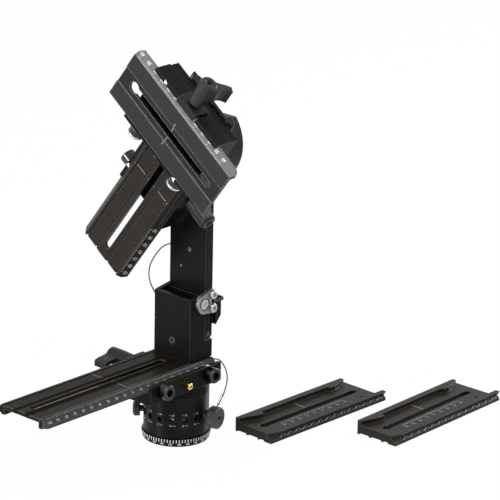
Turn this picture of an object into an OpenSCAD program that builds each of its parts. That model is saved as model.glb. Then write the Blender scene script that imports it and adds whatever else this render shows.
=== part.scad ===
// Panoramic tripod head: an indexing rotator, a long base plate, a folding upright,
// a tilt arm with two crossed camera plates, and two spare plates beside it.
// Origin: middle of the base on the pan axis, at the tripod seat. +Z up, +X from the
// free end of the base plate towards the upright.

/* [Pan base] */
// Radius of the foot and of the dial ring's lower edge
base_r = 30; // [28:0.5:32]
// Radius of the dial ring's upper edge
dial_top_r = 31.3; // [30.5:0.1:33]
// Height of the dial ring
dial_h = 6.5; // [5:0.5:8]
// Outer radius of the turning housing
housing_r = 29.4; // [28.5:0.1:30]
// Wall of the turning housing
housing_wall = 3.5; // [3:0.1:4]
// Height of the turning housing
housing_h = 37.2; // [34:0.1:42]
// Thickness of the upper flange
flange_h = 9.7; // [8:0.1:12]
// Radius of the fixed spindle
spindle_r = 9; // [8.5:0.5:9.5]
// Radius of the tapped tripod hole, at its thread's minor diameter
tripod_r = 3.97; // [3.5:0.01:4.5]
// Depth of the tapped tripod hole
tripod_depth = 12; // [10:1:14]
// Height of the row of index holes
index_z = 24.7; // [23:0.1:26]
// Radius of an index hole
index_r = 2.6; // [2:0.1:3]
// Angle between neighbouring index holes
index_step = 22.5; // [20:0.5:24]
// Direction of the index plunger round the pan axis
plunger_a = -76; // [-80:1:-72]
// Radius of the plunger's knurled knob
plunger_knob_r = 10; // [8:0.5:11]
// Direction of the pan lock knob round the pan axis
lock_a = 132; // [128:1:136]
// Radius of the pan lock knob
lock_r = 7; // [6:0.5:8]

/* [Plates] */
// Width of a plate's top face
plate_w = 50; // [48:1:52]
// Overall height of a plate
plate_h = 9; // [8.5:0.1:10]
// Outward flare of the dovetail on each side, at 45 degrees
flare = 5.4; // [5:0.1:5.6]
// Height of the upright rim below the flare
rim_h = 2.4; // [2:0.1:3]
// Thickness of the web under the top face
web_t = 3.6; // [3:0.1:4.5]
// Length of the base plate
lower_plate_l = 210.5; // [200:0.5:220]
// Length of the middle plate
middle_plate_l = 214; // [205:1:220]
// Length of the top plate
short_plate_l = 140; // [130:1:150]
// Width of the slot along a plate
slot_w = 6.6; // [6:0.1:7]

/* [Clamps] */
// Length of a clamp body
clamp_l = 89; // [86:0.5:92]
// Width of a clamp body
clamp_w = 64.4; // [64:0.1:66]
// Height of a plate's top face above the clamp's underside
clamp_rise = 21.4; // [20.5:0.1:23]
// Depth of a clamp lip below the plate's top face
lip_drop = 3.3; // [3:0.1:3.6]
// Length of a lever hub
hub_l = 26; // [22:1:28]
// Radius of a lever hub
hub_r = 7.5; // [6.5:0.5:8]
// Reach of a lever arm from its hub's axis
arm_reach = 21.8; // [18:0.2:24]
// Distance from the clamp's middle to a clamp screw
cap_x = 29.3; // [28:0.1:31]
// Radius of a clamp screw's head
cap_r = 7; // [6:0.5:7.5]
// Jaw's opening travel, which the levers command
jaw_travel = 2; // [1:0.5:2.5]

/* [Upright] */
// Width of the upright bar and of the foot box
bar_w = 43.6; // [40:0.2:46]
// Thickness of the upright bar
bar_t = 8.9; // [8:0.1:10]
// Depth of the foot box along the base plate
box_d = 19; // [17:0.5:21]
// Height of the foot box
box_h = 59.1; // [56:0.1:64]
// Wall of the foot box
box_wall = 3.6; // [3:0.2:4.4]
// Height of the fold hinge's pin above the base plate
hinge_rise = 21.9; // [20:0.1:23]
// Radius of the hinge pin
hinge_r = 2.4; // [2:0.1:2.8]

/* [Tilt arm] */
// Height of the tilt axis above the base
tilt_z = 252; // [246:1:258]
// Tilt of the arm in the photographed pose
tilt_a = 37; // [30:1:45]
// Thickness of the turning flange in front of the upright
tilt_flange_t = 8.3; // [7:0.1:9]
// Thickness of a riser block
riser_t = 9.6; // [8:0.1:11]
// Distance of the top clamp's middle from the tilt axis
top_reach = 66; // [62:1:70]

/* [Spare plates] */
// Overall height of a spare plate with its raised lip
spare_h = 13.2; // [12:0.1:14]
// Length of a spare plate's body
spare_l = 143; // [136:1:150]
// Width of a spare plate
spare_w = 44; // [42:0.5:47]
// Length of the front rail past the body
rail_over = 11; // [8:0.5:14]

/* [Hidden] */
$fn = 48;

// Clearances and overruns
run_gap = 0.05;
seat_gap = 0.1;
free_gap = 0.3;
cut_over = 1;

// Pan base, from the bottom up
foot_lip_h = 0.5;
foot_floor_h = 6;
foot_r = base_r - 0.6 * foot_lip_h;
dial_inner_r = base_r * 0.86;
dial_top_z = foot_lip_h + dial_h;
housing_z = dial_top_z + free_gap;
housing_top_z = housing_z + housing_h;
flange_top_z = housing_top_z + flange_h;
housing_bore_r = housing_r - housing_wall;
drum_gap = 0.5;
drum_r = housing_bore_r - drum_gap;
drum_h = 20;
drum_z = index_z - drum_h / 2;
drum_top_z = drum_z + drum_h;
detent_r = 1.6;
detent_d = 2.2;
detent_count = 24;
hole_count = 10;
lock_stud_r = 2.9;
lock_knob_l = 6.8;
lock_knob_gap = 3;
collar_r = 5.6;
collar_l = 3.6;
pin_r = 1.55;
pin_l = 10;
plunger_knob_l = 10.6;
plunger_hole_r = 2.2;
plunger_hole_d = 5;
spring_wire_r = 0.35;
spring_mean_r = 2.35;
spring_turns = 4;
washer_r = 13;
washer_t = 1.6;
web_z = drum_top_z + washer_t + seat_gap;
flange_screw_r = 2;
flange_screw_ring_r = 20.5;
flange_screw_head_r = 3.6;
flange_screw_head_h = 3.5;

// Plate section
half_w = plate_w / 2;
rim_y = half_w + flare;
leg_in_share = 0.84;
channel_in_share = 0.2;
channel_foot_share = 0.32;
channel_out_share = 0.92;
channel_d = 0.6;
groove_share = 0.06;
groove_d = 1.8;
centre_share = 0.36;
centre_d = 1;
screw_seat = (web_t + channel_d) / 2;
key_in = channel_foot_share * half_w + free_gap;
key_out = channel_out_share * half_w - free_gap;

// Clamp section
lip_top = clamp_rise - lip_drop;
clamp_floor = clamp_rise - plate_h - seat_gap;
half_cw = clamp_w / 2;
dove_gap = 0.12;
hub_x = 1.5;
hub_z = clamp_rise / 2;
jaw_standout = 2.5;
jaw_out = half_cw + jaw_standout;
hub_start = jaw_out + jaw_travel + seat_gap;
jaw_left = -11.2;
jaw_right = 12.3;
pocket_left = -12.3;
pocket_right = 14.4;
jaw_drop = 2.6;
jaw_foot_z = 2.6;
shaft_r = 2.8;
shaft_in = 26;
cap_l = 8.5;
cap_drop = 10.6;
cap_z = clamp_rise - cap_drop;
cap_shank_r = 2.5;
cap_in = 6.2;
hex_r = 4;
hex_d = 5;
button_r = 3.1;
button_out = 7;
button_in = 13;
button_room = 4;
button_z = 8.5;
button_x = -1;
lower_clamp_x = -21.5;
middle_clamp_x = 3.5;
flange_spots = [[-flange_screw_ring_r, 0], [0, flange_screw_ring_r], [0, -flange_screw_ring_r]];
lower_spots = [for (p = flange_spots) [p[0] - lower_clamp_x, p[1]]];
lower_arm_a = 178;
middle_arm_a = 135;
top_arm_a = -64;

// Base plate and foot box
lower_top_z = flange_top_z + clamp_rise;
lower_end_x = 20;
bar_x = 12.3;
half_bw = bar_w / 2;
bar_back_x = bar_x + bar_t;
bar_gap = seat_gap;
hinge_x = bar_x + bar_gap + bar_t / 2;
hinge_z = lower_top_z + hinge_rise;
box_x = bar_x - box_d;
lug_half = 8;
toe_out = 0.6;
toe_drop = 1.1;
step_x = bar_back_x + toe_out;
step_z = hinge_z - bar_t / 2 - toe_drop;
bar_over = 38;
bar_top_z = tilt_z + bar_over;
box_screw_r = 3.4;
box_screw_rise = 16.1;
box_floor_z = lower_top_z + box_screw_rise + box_screw_r - 2 * free_gap;

// Latch at the right of the foot box
latch_x = 7.6;
latch_rise = 52.9;
latch_z = lower_top_z + latch_rise;
latch_r = 8.8;
latch_t = 4.2;
latch_bolt_r = 4.8;
bolt_up = 7.4;
bolt_down = 5.2;
latch_bolt_zs = [latch_z + bolt_up, latch_z - bolt_down];
rod_r = 2.1;
rod_out = 2.4;
rod_line_y = -half_bw - rod_out;
ear_x1 = 28.4;
rod_end_x = 31.4;

// Tilt parts
th_r = 38;
th_rise = 19;
th_t = 18.8;
th_cut = 24.5;
tilt_shaft_r = 11;
tilt_flange_r = 26;
bearing_wall = 3;
tilt_stack = tilt_flange_t + riser_t;
riser_w = 62;
riser_l = 88;
tilt_ring_share = 0.5;
tilt_spots = [for (a = [-1, 1], b = [-1, 1]) [a, b] * tilt_ring_share * tilt_flange_r];
middle_spots = [for (p = tilt_spots) [middle_clamp_x - p[0], -p[1]]];
riser_over = 2;
middle_far = top_reach + riser_w / 2 + riser_over;
middle_end = middle_far - middle_plate_l;
top_end = -67.3;

// Spare plates on the surface
spare_a_pos = [44.2, -31.8];
spare_a_turn = -1.1;
spare_b_pos = [117.1, -113.6];
spare_b_turn = 1.8;
foot_h = 1.2;
foot_w = 2.2;
spare_slot_y = -24;

// Placing modules
module radial(a, z) {
  rotate([0, 0, a]) translate([0, 0, z]) rotate([0, 90, 0]) children();
}

module on_lower() {
  translate([lower_clamp_x, 0, flange_top_z]) children();
}

module on_tilt() {
  translate([bar_x, 0, tilt_z]) rotate([tilt_a, 0, 0]) rotate([0, -90, 0]) children();
}

module on_middle() {
  on_tilt() translate([middle_clamp_x, 0, tilt_stack]) rotate([0, 0, 180]) children();
}

module on_top() {
  on_tilt() translate([top_reach, 0, tilt_stack + clamp_rise]) rotate([0, 0, -90]) children();
}

module on_top_clamp() {
  on_top() translate([0, 0, riser_t]) children();
}

module along_x(x0, x1) {
  translate([x0, 0, 0]) rotate([90, 0, 90]) linear_extrude(x1 - x0) children();
}

module y_rod(r, y0, y1) {
  translate([0, y1, 0]) rotate([90, 0, 0]) cylinder(r = r, h = y1 - y0);
}

// Pan base
module base_foot() {
  color([0.16, 0.16, 0.16]) difference() {
    rotate_extrude() polygon([
      [0, 0], [foot_r, 0], [foot_r, foot_lip_h], [dial_inner_r - run_gap, foot_lip_h],
      [dial_inner_r - run_gap, foot_floor_h], [spindle_r + 2 * run_gap, foot_floor_h],
      [spindle_r + 2 * run_gap, drum_z - seat_gap], [spindle_r, drum_z - seat_gap],
      [spindle_r, flange_top_z - washer_t - flange_screw_head_h],
      [0, flange_top_z - washer_t - flange_screw_head_h]]);
    translate([0, 0, -cut_over]) cylinder(r = tripod_r, h = tripod_depth + cut_over);
    translate([0, 0, flange_top_z - washer_t - flange_screw_head_h - tripod_depth])
      cylinder(r = flange_screw_r + run_gap, h = tripod_depth + cut_over);
  }
}

module dial_ring() {
  color([0.13, 0.13, 0.13]) rotate_extrude() polygon([
    [dial_inner_r, foot_lip_h + run_gap], [base_r, foot_lip_h + run_gap],
    [dial_top_r, dial_top_z - dial_h * 0.2], [dial_top_r - dial_h * 0.08, dial_top_z],
    [dial_inner_r, dial_top_z]]);
}

module index_drum() {
  color([0.62, 0.62, 0.6]) difference() {
    translate([0, 0, drum_z]) cylinder(r = drum_r, h = drum_h);
    translate([0, 0, drum_z - cut_over]) cylinder(r = spindle_r + run_gap, h = drum_h + 2 * cut_over);
    for (i = [0 : detent_count - 1])
      radial(plunger_a + i * 360 / detent_count, index_z)
        translate([0, 0, drum_r - detent_d]) cylinder(r = detent_r, h = detent_d + cut_over, $fn = 24);
  }
}

module thrust_washer() {
  color([0.75, 0.6, 0.3]) difference() {
    translate([0, 0, drum_top_z + seat_gap]) cylinder(r = drum_r - housing_wall, h = washer_t - seat_gap);
    translate([0, 0, drum_z]) cylinder(r = spindle_r + 2 * run_gap, h = drum_h + 2 * washer_t + cut_over);
  }
}

module spindle_washer() {
  color([0.6, 0.6, 0.6]) difference() {
    translate([0, 0, flange_top_z - washer_t - flange_screw_head_h])
      cylinder(r = washer_r, h = washer_t);
    translate([0, 0, housing_top_z]) cylinder(r = flange_screw_r + run_gap, h = flange_h);
  }
}

module spindle_screw() {
  color([0.5, 0.5, 0.5]) {
    translate([0, 0, flange_top_z - flange_screw_head_h]) difference() {
      cylinder(r = flange_screw_head_r, h = flange_screw_head_h - free_gap);
      translate([0, 0, flange_screw_head_h / 2])
        cylinder(r = flange_screw_r, h = flange_screw_head_h, $fn = 6);
    }
    translate([0, 0, flange_top_z - washer_t - flange_screw_head_h - tripod_depth / 2])
      cylinder(r = flange_screw_r, h = tripod_depth / 2 + washer_t);
  }
}

module index_holes() {
  for (i = [0 : hole_count])
    radial(plunger_a - i * index_step, index_z)
      translate([0, 0, housing_bore_r - cut_over])
        cylinder(r = index_r, h = housing_wall + 2 * cut_over);
}

module pan_housing() {
  color([0.1, 0.1, 0.1]) difference() {
    rotate_extrude() polygon([
      [housing_bore_r, housing_z], [housing_r - 0.1 * housing_wall, housing_z],
      [housing_r, housing_z + 0.1 * housing_wall],
      [housing_r, housing_top_z], [spindle_r + run_gap, housing_top_z],
      [spindle_r + run_gap, web_z], [housing_bore_r, web_z]]);
    index_holes();
    radial(lock_a, index_z) translate([0, 0, housing_bore_r - cut_over])
      cylinder(r = lock_stud_r + run_gap, h = housing_wall + 2 * cut_over);
    for (a = [45 : 90 : 315]) rotate([0, 0, a]) translate([flange_screw_ring_r, 0, web_z + washer_t])
      cylinder(r = flange_screw_r + run_gap, h = housing_h);
  }
}

module pan_flange() {
  color([0.2, 0.2, 0.2]) difference() {
    translate([0, 0, housing_top_z]) rotate_extrude() polygon([
      [0, 0], [housing_r, 0], [housing_r, flange_h - 0.06 * flange_h],
      [housing_r - 0.06 * flange_h, flange_h], [0, flange_h]]);
    translate([0, 0, housing_top_z - cut_over])
      cylinder(r = spindle_r + run_gap, h = flange_h + 2 * cut_over);
    translate([0, 0, flange_top_z - washer_t - flange_screw_head_h - seat_gap])
      cylinder(r = washer_r + free_gap, h = flange_h);
    for (a = [45 : 90 : 315]) rotate([0, 0, a]) translate([flange_screw_ring_r, 0, 0]) {
      translate([0, 0, housing_z]) cylinder(r = flange_screw_r + run_gap, h = housing_h + flange_h);
      translate([0, 0, flange_top_z - flange_screw_head_h])
        cylinder(r = flange_screw_head_r + run_gap, h = flange_screw_head_h + cut_over);
    }
    for (p = flange_spots) translate([p[0], p[1], flange_top_z - 0.6 * flange_h])
      cylinder(r = flange_screw_r + run_gap, h = flange_h);
  }
}

module flange_screws() {
  color([0.5, 0.5, 0.5])
    for (a = [45 : 90 : 315]) rotate([0, 0, a]) translate([flange_screw_ring_r, 0, 0]) {
      translate([0, 0, web_z + 2 * washer_t])
        cylinder(r = flange_screw_r, h = flange_top_z - web_z - 2 * washer_t - flange_screw_head_h);
      translate([0, 0, flange_top_z - flange_screw_head_h]) difference() {
        cylinder(r = flange_screw_head_r, h = flange_screw_head_h - free_gap);
        translate([0, 0, flange_screw_head_h / 2])
          cylinder(r = flange_screw_r, h = flange_screw_head_h, $fn = 6);
      }
    }
}

module pan_lock_knob() {
  color([0.1, 0.1, 0.1]) radial(lock_a, index_z) difference() {
    rotate_extrude() polygon([
      [0, drum_r + free_gap], [lock_stud_r, drum_r + free_gap],
      [lock_stud_r, housing_r + lock_knob_gap], [lock_r - 0.1 * lock_r, housing_r + lock_knob_gap],
      [lock_r, housing_r + lock_knob_gap + 0.1 * lock_r],
      [lock_r, housing_r + lock_knob_gap + 0.7 * lock_knob_l],
      [0.75 * lock_r, housing_r + lock_knob_gap + 0.93 * lock_knob_l],
      [0, housing_r + lock_knob_gap + lock_knob_l]]);
    for (a = [0 : 45 : 315]) rotate([0, 0, a])
      translate([lock_r + 0.13 * lock_r, 0, housing_r + lock_knob_gap - cut_over])
      cylinder(r = 0.2 * lock_r, h = lock_knob_l + 2 * cut_over, $fn = 24);
  }
}

module plunger_collar() {
  color([0.2, 0.2, 0.2]) radial(plunger_a, index_z) difference() {
    union() {
      translate([0, 0, housing_bore_r + run_gap])
        cylinder(r = index_r - run_gap, h = housing_wall + run_gap);
      intersection() {
        translate([0, 0, housing_r + free_gap / 2]) cylinder(r = collar_r, h = collar_l, $fn = 6);
        translate([0, 0, housing_r + free_gap / 2]) cylinder(r = 0.95 * collar_r, h = collar_l);
      }
    }
    translate([0, 0, housing_bore_r - cut_over])
      cylinder(r = pin_r + run_gap, h = housing_wall + 2 * cut_over + collar_l);
    translate([0, 0, housing_r + free_gap])
      cylinder(r = spring_mean_r + spring_wire_r + free_gap, h = collar_l);
  }
}

pin_start = drum_r - detent_d + free_gap;
knob_start = housing_r + collar_l + 2 * free_gap;

module plunger_pin() {
  color([0.75, 0.75, 0.75]) radial(plunger_a, index_z) rotate_extrude() polygon([
    [0, pin_start], [0.55 * pin_r, pin_start], [pin_r - run_gap, pin_start + 0.6 * pin_r],
    [pin_r, pin_start + pin_r], [pin_r, knob_start + pin_l / 2], [0, knob_start + pin_l / 2]]);
}

module plunger_knob() {
  color([0.22, 0.22, 0.22]) radial(plunger_a, index_z) difference() {
    rotate_extrude() polygon([
      [0, knob_start], [0.62 * plunger_knob_r, knob_start],
      [0.62 * plunger_knob_r, knob_start + 0.13 * plunger_knob_l],
      [0.93 * plunger_knob_r, knob_start + 0.16 * plunger_knob_l],
      [plunger_knob_r, knob_start + 0.24 * plunger_knob_l],
      [plunger_knob_r, knob_start + 0.92 * plunger_knob_l],
      [0.93 * plunger_knob_r, knob_start + plunger_knob_l], [0, knob_start + plunger_knob_l]]);
    translate([0, 0, knob_start - cut_over]) cylinder(r = pin_r, h = pin_l / 2 + cut_over);
    translate([0, 0, knob_start + plunger_knob_l - plunger_hole_d])
      cylinder(r = plunger_hole_r, h = plunger_hole_d + cut_over);
  }
}

// Spring round the plunger pin: one unbroken coil, swept by its own formula
function coil_point(t, r, a) =
  let (b = 360 * spring_turns * t, c = r + spring_wire_r * cos(a))
  [c * cos(b), c * sin(b), t * spring_span + spring_wire_r * sin(a)];
spring_start = housing_r + free_gap + 2 * spring_wire_r;
spring_span = collar_l - 2 * spring_wire_r - free_gap;
spring_steps = 12 * spring_turns;
spring_sides = 6;

module plunger_spring() {
  pts = [for (i = [0 : spring_steps]) for (j = [0 : spring_sides - 1])
    coil_point(i / spring_steps, spring_mean_r, j * 360 / spring_sides)];
  n = spring_sides;
  sides = [for (i = [0 : spring_steps - 1]) for (j = [0 : n - 1]) each [
    [i * n + j, (i + 1) * n + j, i * n + (j + 1) % n],
    [i * n + (j + 1) % n, (i + 1) * n + j, (i + 1) * n + (j + 1) % n]]];
  caps = [for (j = [1 : n - 2]) each [
    [0, j, j + 1], [spring_steps * n, spring_steps * n + j + 1, spring_steps * n + j]]];
  color([0.7, 0.7, 0.7]) radial(plunger_a, index_z) translate([0, 0, spring_start])
    polyhedron(points = pts, faces = concat(sides, caps));
}

// Plates: one outline for all of them, top face at height 0, legs below on both sides
module plate_outline() {
  polygon([
    [-half_w, 0], [-rim_y, -flare], [-rim_y, -flare - rim_h], [-half_w, -flare - rim_h],
    [-half_w, -plate_h], [-leg_in_share * half_w, -plate_h], [-leg_in_share * half_w, -web_t],
    [leg_in_share * half_w, -web_t], [leg_in_share * half_w, -plate_h],
    [half_w, -plate_h], [half_w, -flare - rim_h], [rim_y, -flare - rim_h],
    [rim_y, -flare], [half_w, 0]]);
}

// A long plate has two wide shallow channels between narrow grooves, a short one a
// shallow middle
module long_section() {
  difference() {
    plate_outline();
    for (m = [-1, 1]) polygon([
      [m * channel_in_share * half_w, 0], [m * channel_foot_share * half_w, -channel_d],
      [m * channel_out_share * half_w, -channel_d], [m * channel_out_share * half_w, channel_d],
      [m * channel_in_share * half_w, channel_d]]);
    for (m = [-1, 1], g = [channel_foot_share, channel_out_share - groove_share])
      translate([m * (g + groove_share / 2) * half_w, 0])
        square([groove_share * half_w, 2 * groove_d], center = true);
  }
}

module short_section() {
  difference() {
    plate_outline();
    square([2 * centre_share * half_w, 2 * centre_d], center = true);
  }
}

// Mitred corners on the side that carries the scale
module mitres(x0, l, side) {
  miter = 0.7 * flare;
  for (e = [0, 1]) translate([x0 + e * l, side * rim_y, 0]) rotate([0, 0, 45])
    cube([miter, miter, 4 * plate_h], center = true);
}

module plate_slot(x0, x1) {
  translate([0, 0, -plate_h - cut_over]) linear_extrude(plate_h + 2 * cut_over) union() {
    translate([(x0 + x1) / 2, 0]) square([x1 - x0 - slot_w, slot_w], center = true);
    for (x = [x0 + slot_w / 2, x1 - slot_w / 2]) translate([x, 0]) circle(d = slot_w);
  }
}

slot_margin = 10;
keyhole_r = 5.4;
keyhole_x = 17.5;
stop_r = 1.6;

module lower_plate() {
  x1 = lower_end_x;
  x0 = x1 - lower_plate_l;
  color([0.14, 0.14, 0.14]) translate([0, 0, lower_top_z]) difference() {
    along_x(x0, x1) long_section();
    mitres(x0, lower_plate_l, -1);
    plate_slot(x0 + slot_margin, box_x - slot_margin);
    for (y = [-0.62 * half_bw, 0.62 * half_bw])
      translate([(box_x + bar_x) / 2, y, -plate_h - cut_over]) {
        cylinder(r = stop_r + run_gap, h = plate_h + 2 * cut_over);
        cylinder(r = 1.9 * stop_r, h = plate_h - screw_seat + cut_over);
      }
  }
}

module middle_plate() {
  color([0.14, 0.14, 0.14]) on_tilt() translate([0, 0, tilt_stack + clamp_rise]) difference() {
    along_x(middle_end, middle_far) long_section();
    mitres(middle_end, middle_plate_l, -1);
    plate_slot(middle_end + slot_margin, top_reach - riser_w / 2 - slot_margin / 2);
    for (x = [-0.32, 0.32], y = [-0.32, 0.32])
      translate([top_reach + x * riser_w, y * plate_w, -plate_h - cut_over]) {
        cylinder(r = stop_r + run_gap, h = plate_h + 2 * cut_over);
        cylinder(r = 1.9 * stop_r, h = plate_h - screw_seat + cut_over);
      }
  }
}

module short_plate(x0) {
  difference() {
    along_x(x0, x0 + short_plate_l) short_section();
    mitres(x0, short_plate_l, 1);
    plate_slot(x0 + keyhole_x - slot_w / 2, x0 + 0.92 * short_plate_l);
    translate([x0 + keyhole_x, 0, -plate_h - cut_over]) cylinder(r = keyhole_r, h = plate_h + 2 * cut_over);
  }
}

module top_plate() {
  color([0.2, 0.2, 0.2]) on_top_clamp() translate([0, 0, clamp_rise]) short_plate(top_end);
}

// Clamp: the section below is the body with both lips; a window takes the jaw
module clamp_body_section() {
  slope_y = half_w + lip_drop + dove_gap;
  foot_y = rim_y + dove_gap;
  polygon([
    [-half_cw + 0.02 * clamp_w, 0], [-half_cw, 0.02 * clamp_w], [-half_cw, lip_top - 0.01 * clamp_w],
    [-half_cw + 0.01 * clamp_w, lip_top], [-slope_y, lip_top],
    [-foot_y, clamp_rise - flare], [-foot_y, clamp_floor], [foot_y, clamp_floor],
    [foot_y, clamp_rise - flare], [slope_y, lip_top], [half_cw - 0.01 * clamp_w, lip_top],
    [half_cw, lip_top - 0.01 * clamp_w], [half_cw, 0.02 * clamp_w], [half_cw - 0.02 * clamp_w, 0]]);
}

module clamp_body(spots) {
  difference() {
    along_x(-clamp_l / 2, clamp_l / 2) clamp_body_section();
    translate([pocket_left, rim_y - 2 * free_gap, jaw_foot_z - free_gap])
      cube([pocket_right - pocket_left, half_cw, clamp_rise]);
    translate([pocket_left, half_w, clamp_floor])
      cube([pocket_right - pocket_left, half_cw, clamp_rise]);
    translate([hub_x, 0, hub_z]) y_rod(shaft_r + run_gap, shaft_in - free_gap, half_cw + cut_over);
    for (x = [-cap_x, cap_x]) translate([x, 0, cap_z])
      y_rod(cap_shank_r + run_gap, -half_cw - cut_over, -half_cw + cap_in);
    translate([button_x, 0, button_z])
      y_rod(button_r + run_gap, -half_cw - cut_over, -half_cw + button_in + button_room);
    for (p = spots) translate([p[0], p[1], -cut_over]) {
      cylinder(r = flange_screw_r + run_gap, h = clamp_floor + 2 * cut_over);
      translate([0, 0, cut_over + clamp_floor - flange_screw_head_h])
        cylinder(r = flange_screw_head_r + run_gap, h = flange_screw_head_h + cut_over);
    }
  }
}

module clamp_screws(spots, below) {
  for (p = spots) translate([p[0], p[1], 0]) {
    translate([0, 0, -below]) cylinder(r = flange_screw_r, h = below + clamp_floor - flange_screw_head_h);
    translate([0, 0, clamp_floor - flange_screw_head_h]) difference() {
      cylinder(r = flange_screw_head_r, h = flange_screw_head_h - free_gap);
      translate([0, 0, flange_screw_head_h / 2])
        cylinder(r = flange_screw_r, h = flange_screw_head_h, $fn = 6);
    }
  }
}

module clamp_jaw() {
  slope_y = half_w + jaw_drop + dove_gap;
  foot_y = rim_y + dove_gap;
  difference() {
    along_x(jaw_left, jaw_right) polygon([
      [foot_y, jaw_foot_z], [jaw_out, jaw_foot_z], [jaw_out, clamp_rise - jaw_drop - 0.02 * clamp_w],
      [jaw_out - 0.02 * clamp_w, clamp_rise - jaw_drop], [slope_y, clamp_rise - jaw_drop],
      [foot_y, clamp_rise - flare]]);
    translate([hub_x, 0, hub_z]) y_rod(shaft_r + free_gap, 0, jaw_out + cut_over);
  }
}

// Lever: a hub on its shaft with a blade that leaves it on a tangent
module clamp_lever(arm_a) {
  hub_end = hub_start + hub_l;
  blade_w = 0.54 * hub_l;
  translate([hub_x, 0, hub_z]) {
    difference() {
      union() {
        translate([0, hub_end, 0]) rotate([90, 0, 0]) rotate_extrude() polygon([
          [0, 0], [0.86 * hub_r, 0], [hub_r, 0.05 * hub_l], [hub_r, 0.55 * hub_l],
          [0.9 * hub_r, 0.94 * hub_l], [0.8 * hub_r, hub_l], [0, hub_l]]);
        rotate([0, -arm_a, 0]) translate([0, hub_end - 0.04 * hub_l, 0]) rotate([90, 0, 0])
          linear_extrude(blade_w) polygon([
            [0, hub_r], [0.35 * arm_reach, 0.93 * hub_r], [0.62 * arm_reach, 0.55 * hub_r],
            [0.8 * arm_reach, 0.5 * hub_r], [arm_reach, 0.72 * hub_r], [arm_reach, -0.02 * hub_r],
            [0.8 * arm_reach, -0.2 * hub_r], [0.5 * arm_reach, -0.3 * hub_r], [0, -0.6 * hub_r]]);
      }
      y_rod(flare / 1.5, hub_end - 0.2 * hub_l, hub_end + cut_over);
      y_rod(stop_r + run_gap, hub_start - cut_over, hub_end);
    }
    difference() {
      y_rod(shaft_r, shaft_in, hub_start + 0.02 * hub_l);
      y_rod(stop_r + run_gap, shaft_in + cut_over, hub_end);
    }
  }
}

module clamp_lever_screw() {
  hub_end = hub_start + hub_l;
  translate([hub_x, 0, hub_z]) difference() {
    union() {
      y_rod(flare / 1.5 - run_gap, hub_end - 0.2 * hub_l, hub_end - 0.03 * hub_l);
      y_rod(stop_r, shaft_in + 2 * cut_over, hub_end - 0.2 * hub_l);
    }
    translate([0, hub_end + cut_over, 0]) rotate([90, 0, 0])
      cylinder(r = 0.55 * flare / 1.5, h = 0.12 * hub_l + cut_over, $fn = 6);
  }
}

module clamp_button() {
  translate([button_x, 0, button_z]) difference() {
    translate([0, -half_cw - button_out, 0]) rotate([-90, 0, 0]) rotate_extrude() polygon([
      [0, 0], [0.72 * button_r, 0], [button_r, 0.12 * button_out], [button_r, button_out + button_in],
      [0, button_out + button_in]]);
    y_rod(0.3 * button_r, -half_cw - button_out - cut_over, -half_cw - 0.7 * button_out);
  }
}

module clamp_caps() {
  for (x = [-cap_x, cap_x]) translate([x, 0, cap_z]) difference() {
    union() {
      translate([0, -half_cw - cap_l, 0]) rotate([-90, 0, 0]) rotate_extrude() polygon([
        [0, 0], [0.9 * cap_r, 0], [cap_r, 0.1 * cap_l], [cap_r, cap_l - run_gap], [0, cap_l - run_gap]]);
      y_rod(cap_shank_r, -half_cw - cut_over, -half_cw + cap_in - free_gap);
    }
    translate([0, -half_cw - cap_l - cut_over, 0]) rotate([-90, 0, 0])
      cylinder(r = hex_r, h = hex_d + cut_over, $fn = 6);
  }
}

module lower_clamp() {
  color([0.12, 0.12, 0.12]) on_lower() clamp_body(lower_spots);
}

module lower_clamp_screws() {
  color([0.3, 0.3, 0.3]) on_lower() clamp_screws(lower_spots, flange_h / 2);
}

module lower_jaw() {
  color([0.14, 0.14, 0.14]) on_lower() clamp_jaw();
}

module lower_lever() {
  color([0.2, 0.2, 0.2]) on_lower() clamp_lever(lower_arm_a);
}

module lower_lever_screw() {
  color([0.3, 0.3, 0.3]) on_lower() clamp_lever_screw();
}

module lower_button() {
  color([0.8, 0.62, 0.3]) on_lower() clamp_button();
}

module lower_caps() {
  color([0.25, 0.25, 0.25]) on_lower() clamp_caps();
}

module middle_clamp() {
  color([0.12, 0.12, 0.12]) on_middle() clamp_body(middle_spots);
}

module middle_clamp_screws() {
  color([0.3, 0.3, 0.3]) on_middle() clamp_screws(middle_spots, riser_t + tilt_flange_t / 2);
}

module middle_jaw() {
  color([0.14, 0.14, 0.14]) on_middle() clamp_jaw();
}

module middle_lever() {
  color([0.2, 0.2, 0.2]) on_middle() clamp_lever(middle_arm_a);
}

module middle_lever_screw() {
  color([0.3, 0.3, 0.3]) on_middle() clamp_lever_screw();
}

module middle_button() {
  color([0.8, 0.62, 0.3]) on_middle() clamp_button();
}

module middle_caps() {
  color([0.25, 0.25, 0.25]) on_middle() clamp_caps();
}

module top_clamp() {
  color([0.12, 0.12, 0.12]) on_top_clamp() clamp_body([]);
}

module top_jaw() {
  color([0.14, 0.14, 0.14]) on_top_clamp() clamp_jaw();
}

module top_lever() {
  color([0.2, 0.2, 0.2]) on_top_clamp() clamp_lever(top_arm_a);
}

module top_lever_screw() {
  color([0.3, 0.3, 0.3]) on_top_clamp() clamp_lever_screw();
}

module top_button() {
  color([0.8, 0.62, 0.3]) on_top_clamp() clamp_button();
}

module top_caps() {
  color([0.25, 0.25, 0.25]) on_top_clamp() clamp_caps();
}

module middle_riser() {
  color([0.24, 0.24, 0.24]) on_tilt() translate([middle_clamp_x, 0, tilt_flange_t]) difference() {
    translate([-riser_l / 2, -riser_w / 2, 0]) cube([riser_l, riser_w, riser_t]);
    for (p = tilt_spots) translate([p[0] - middle_clamp_x, p[1], -cut_over])
      cylinder(r = flange_screw_r + run_gap, h = riser_t + 2 * cut_over);
  }
}

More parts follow.
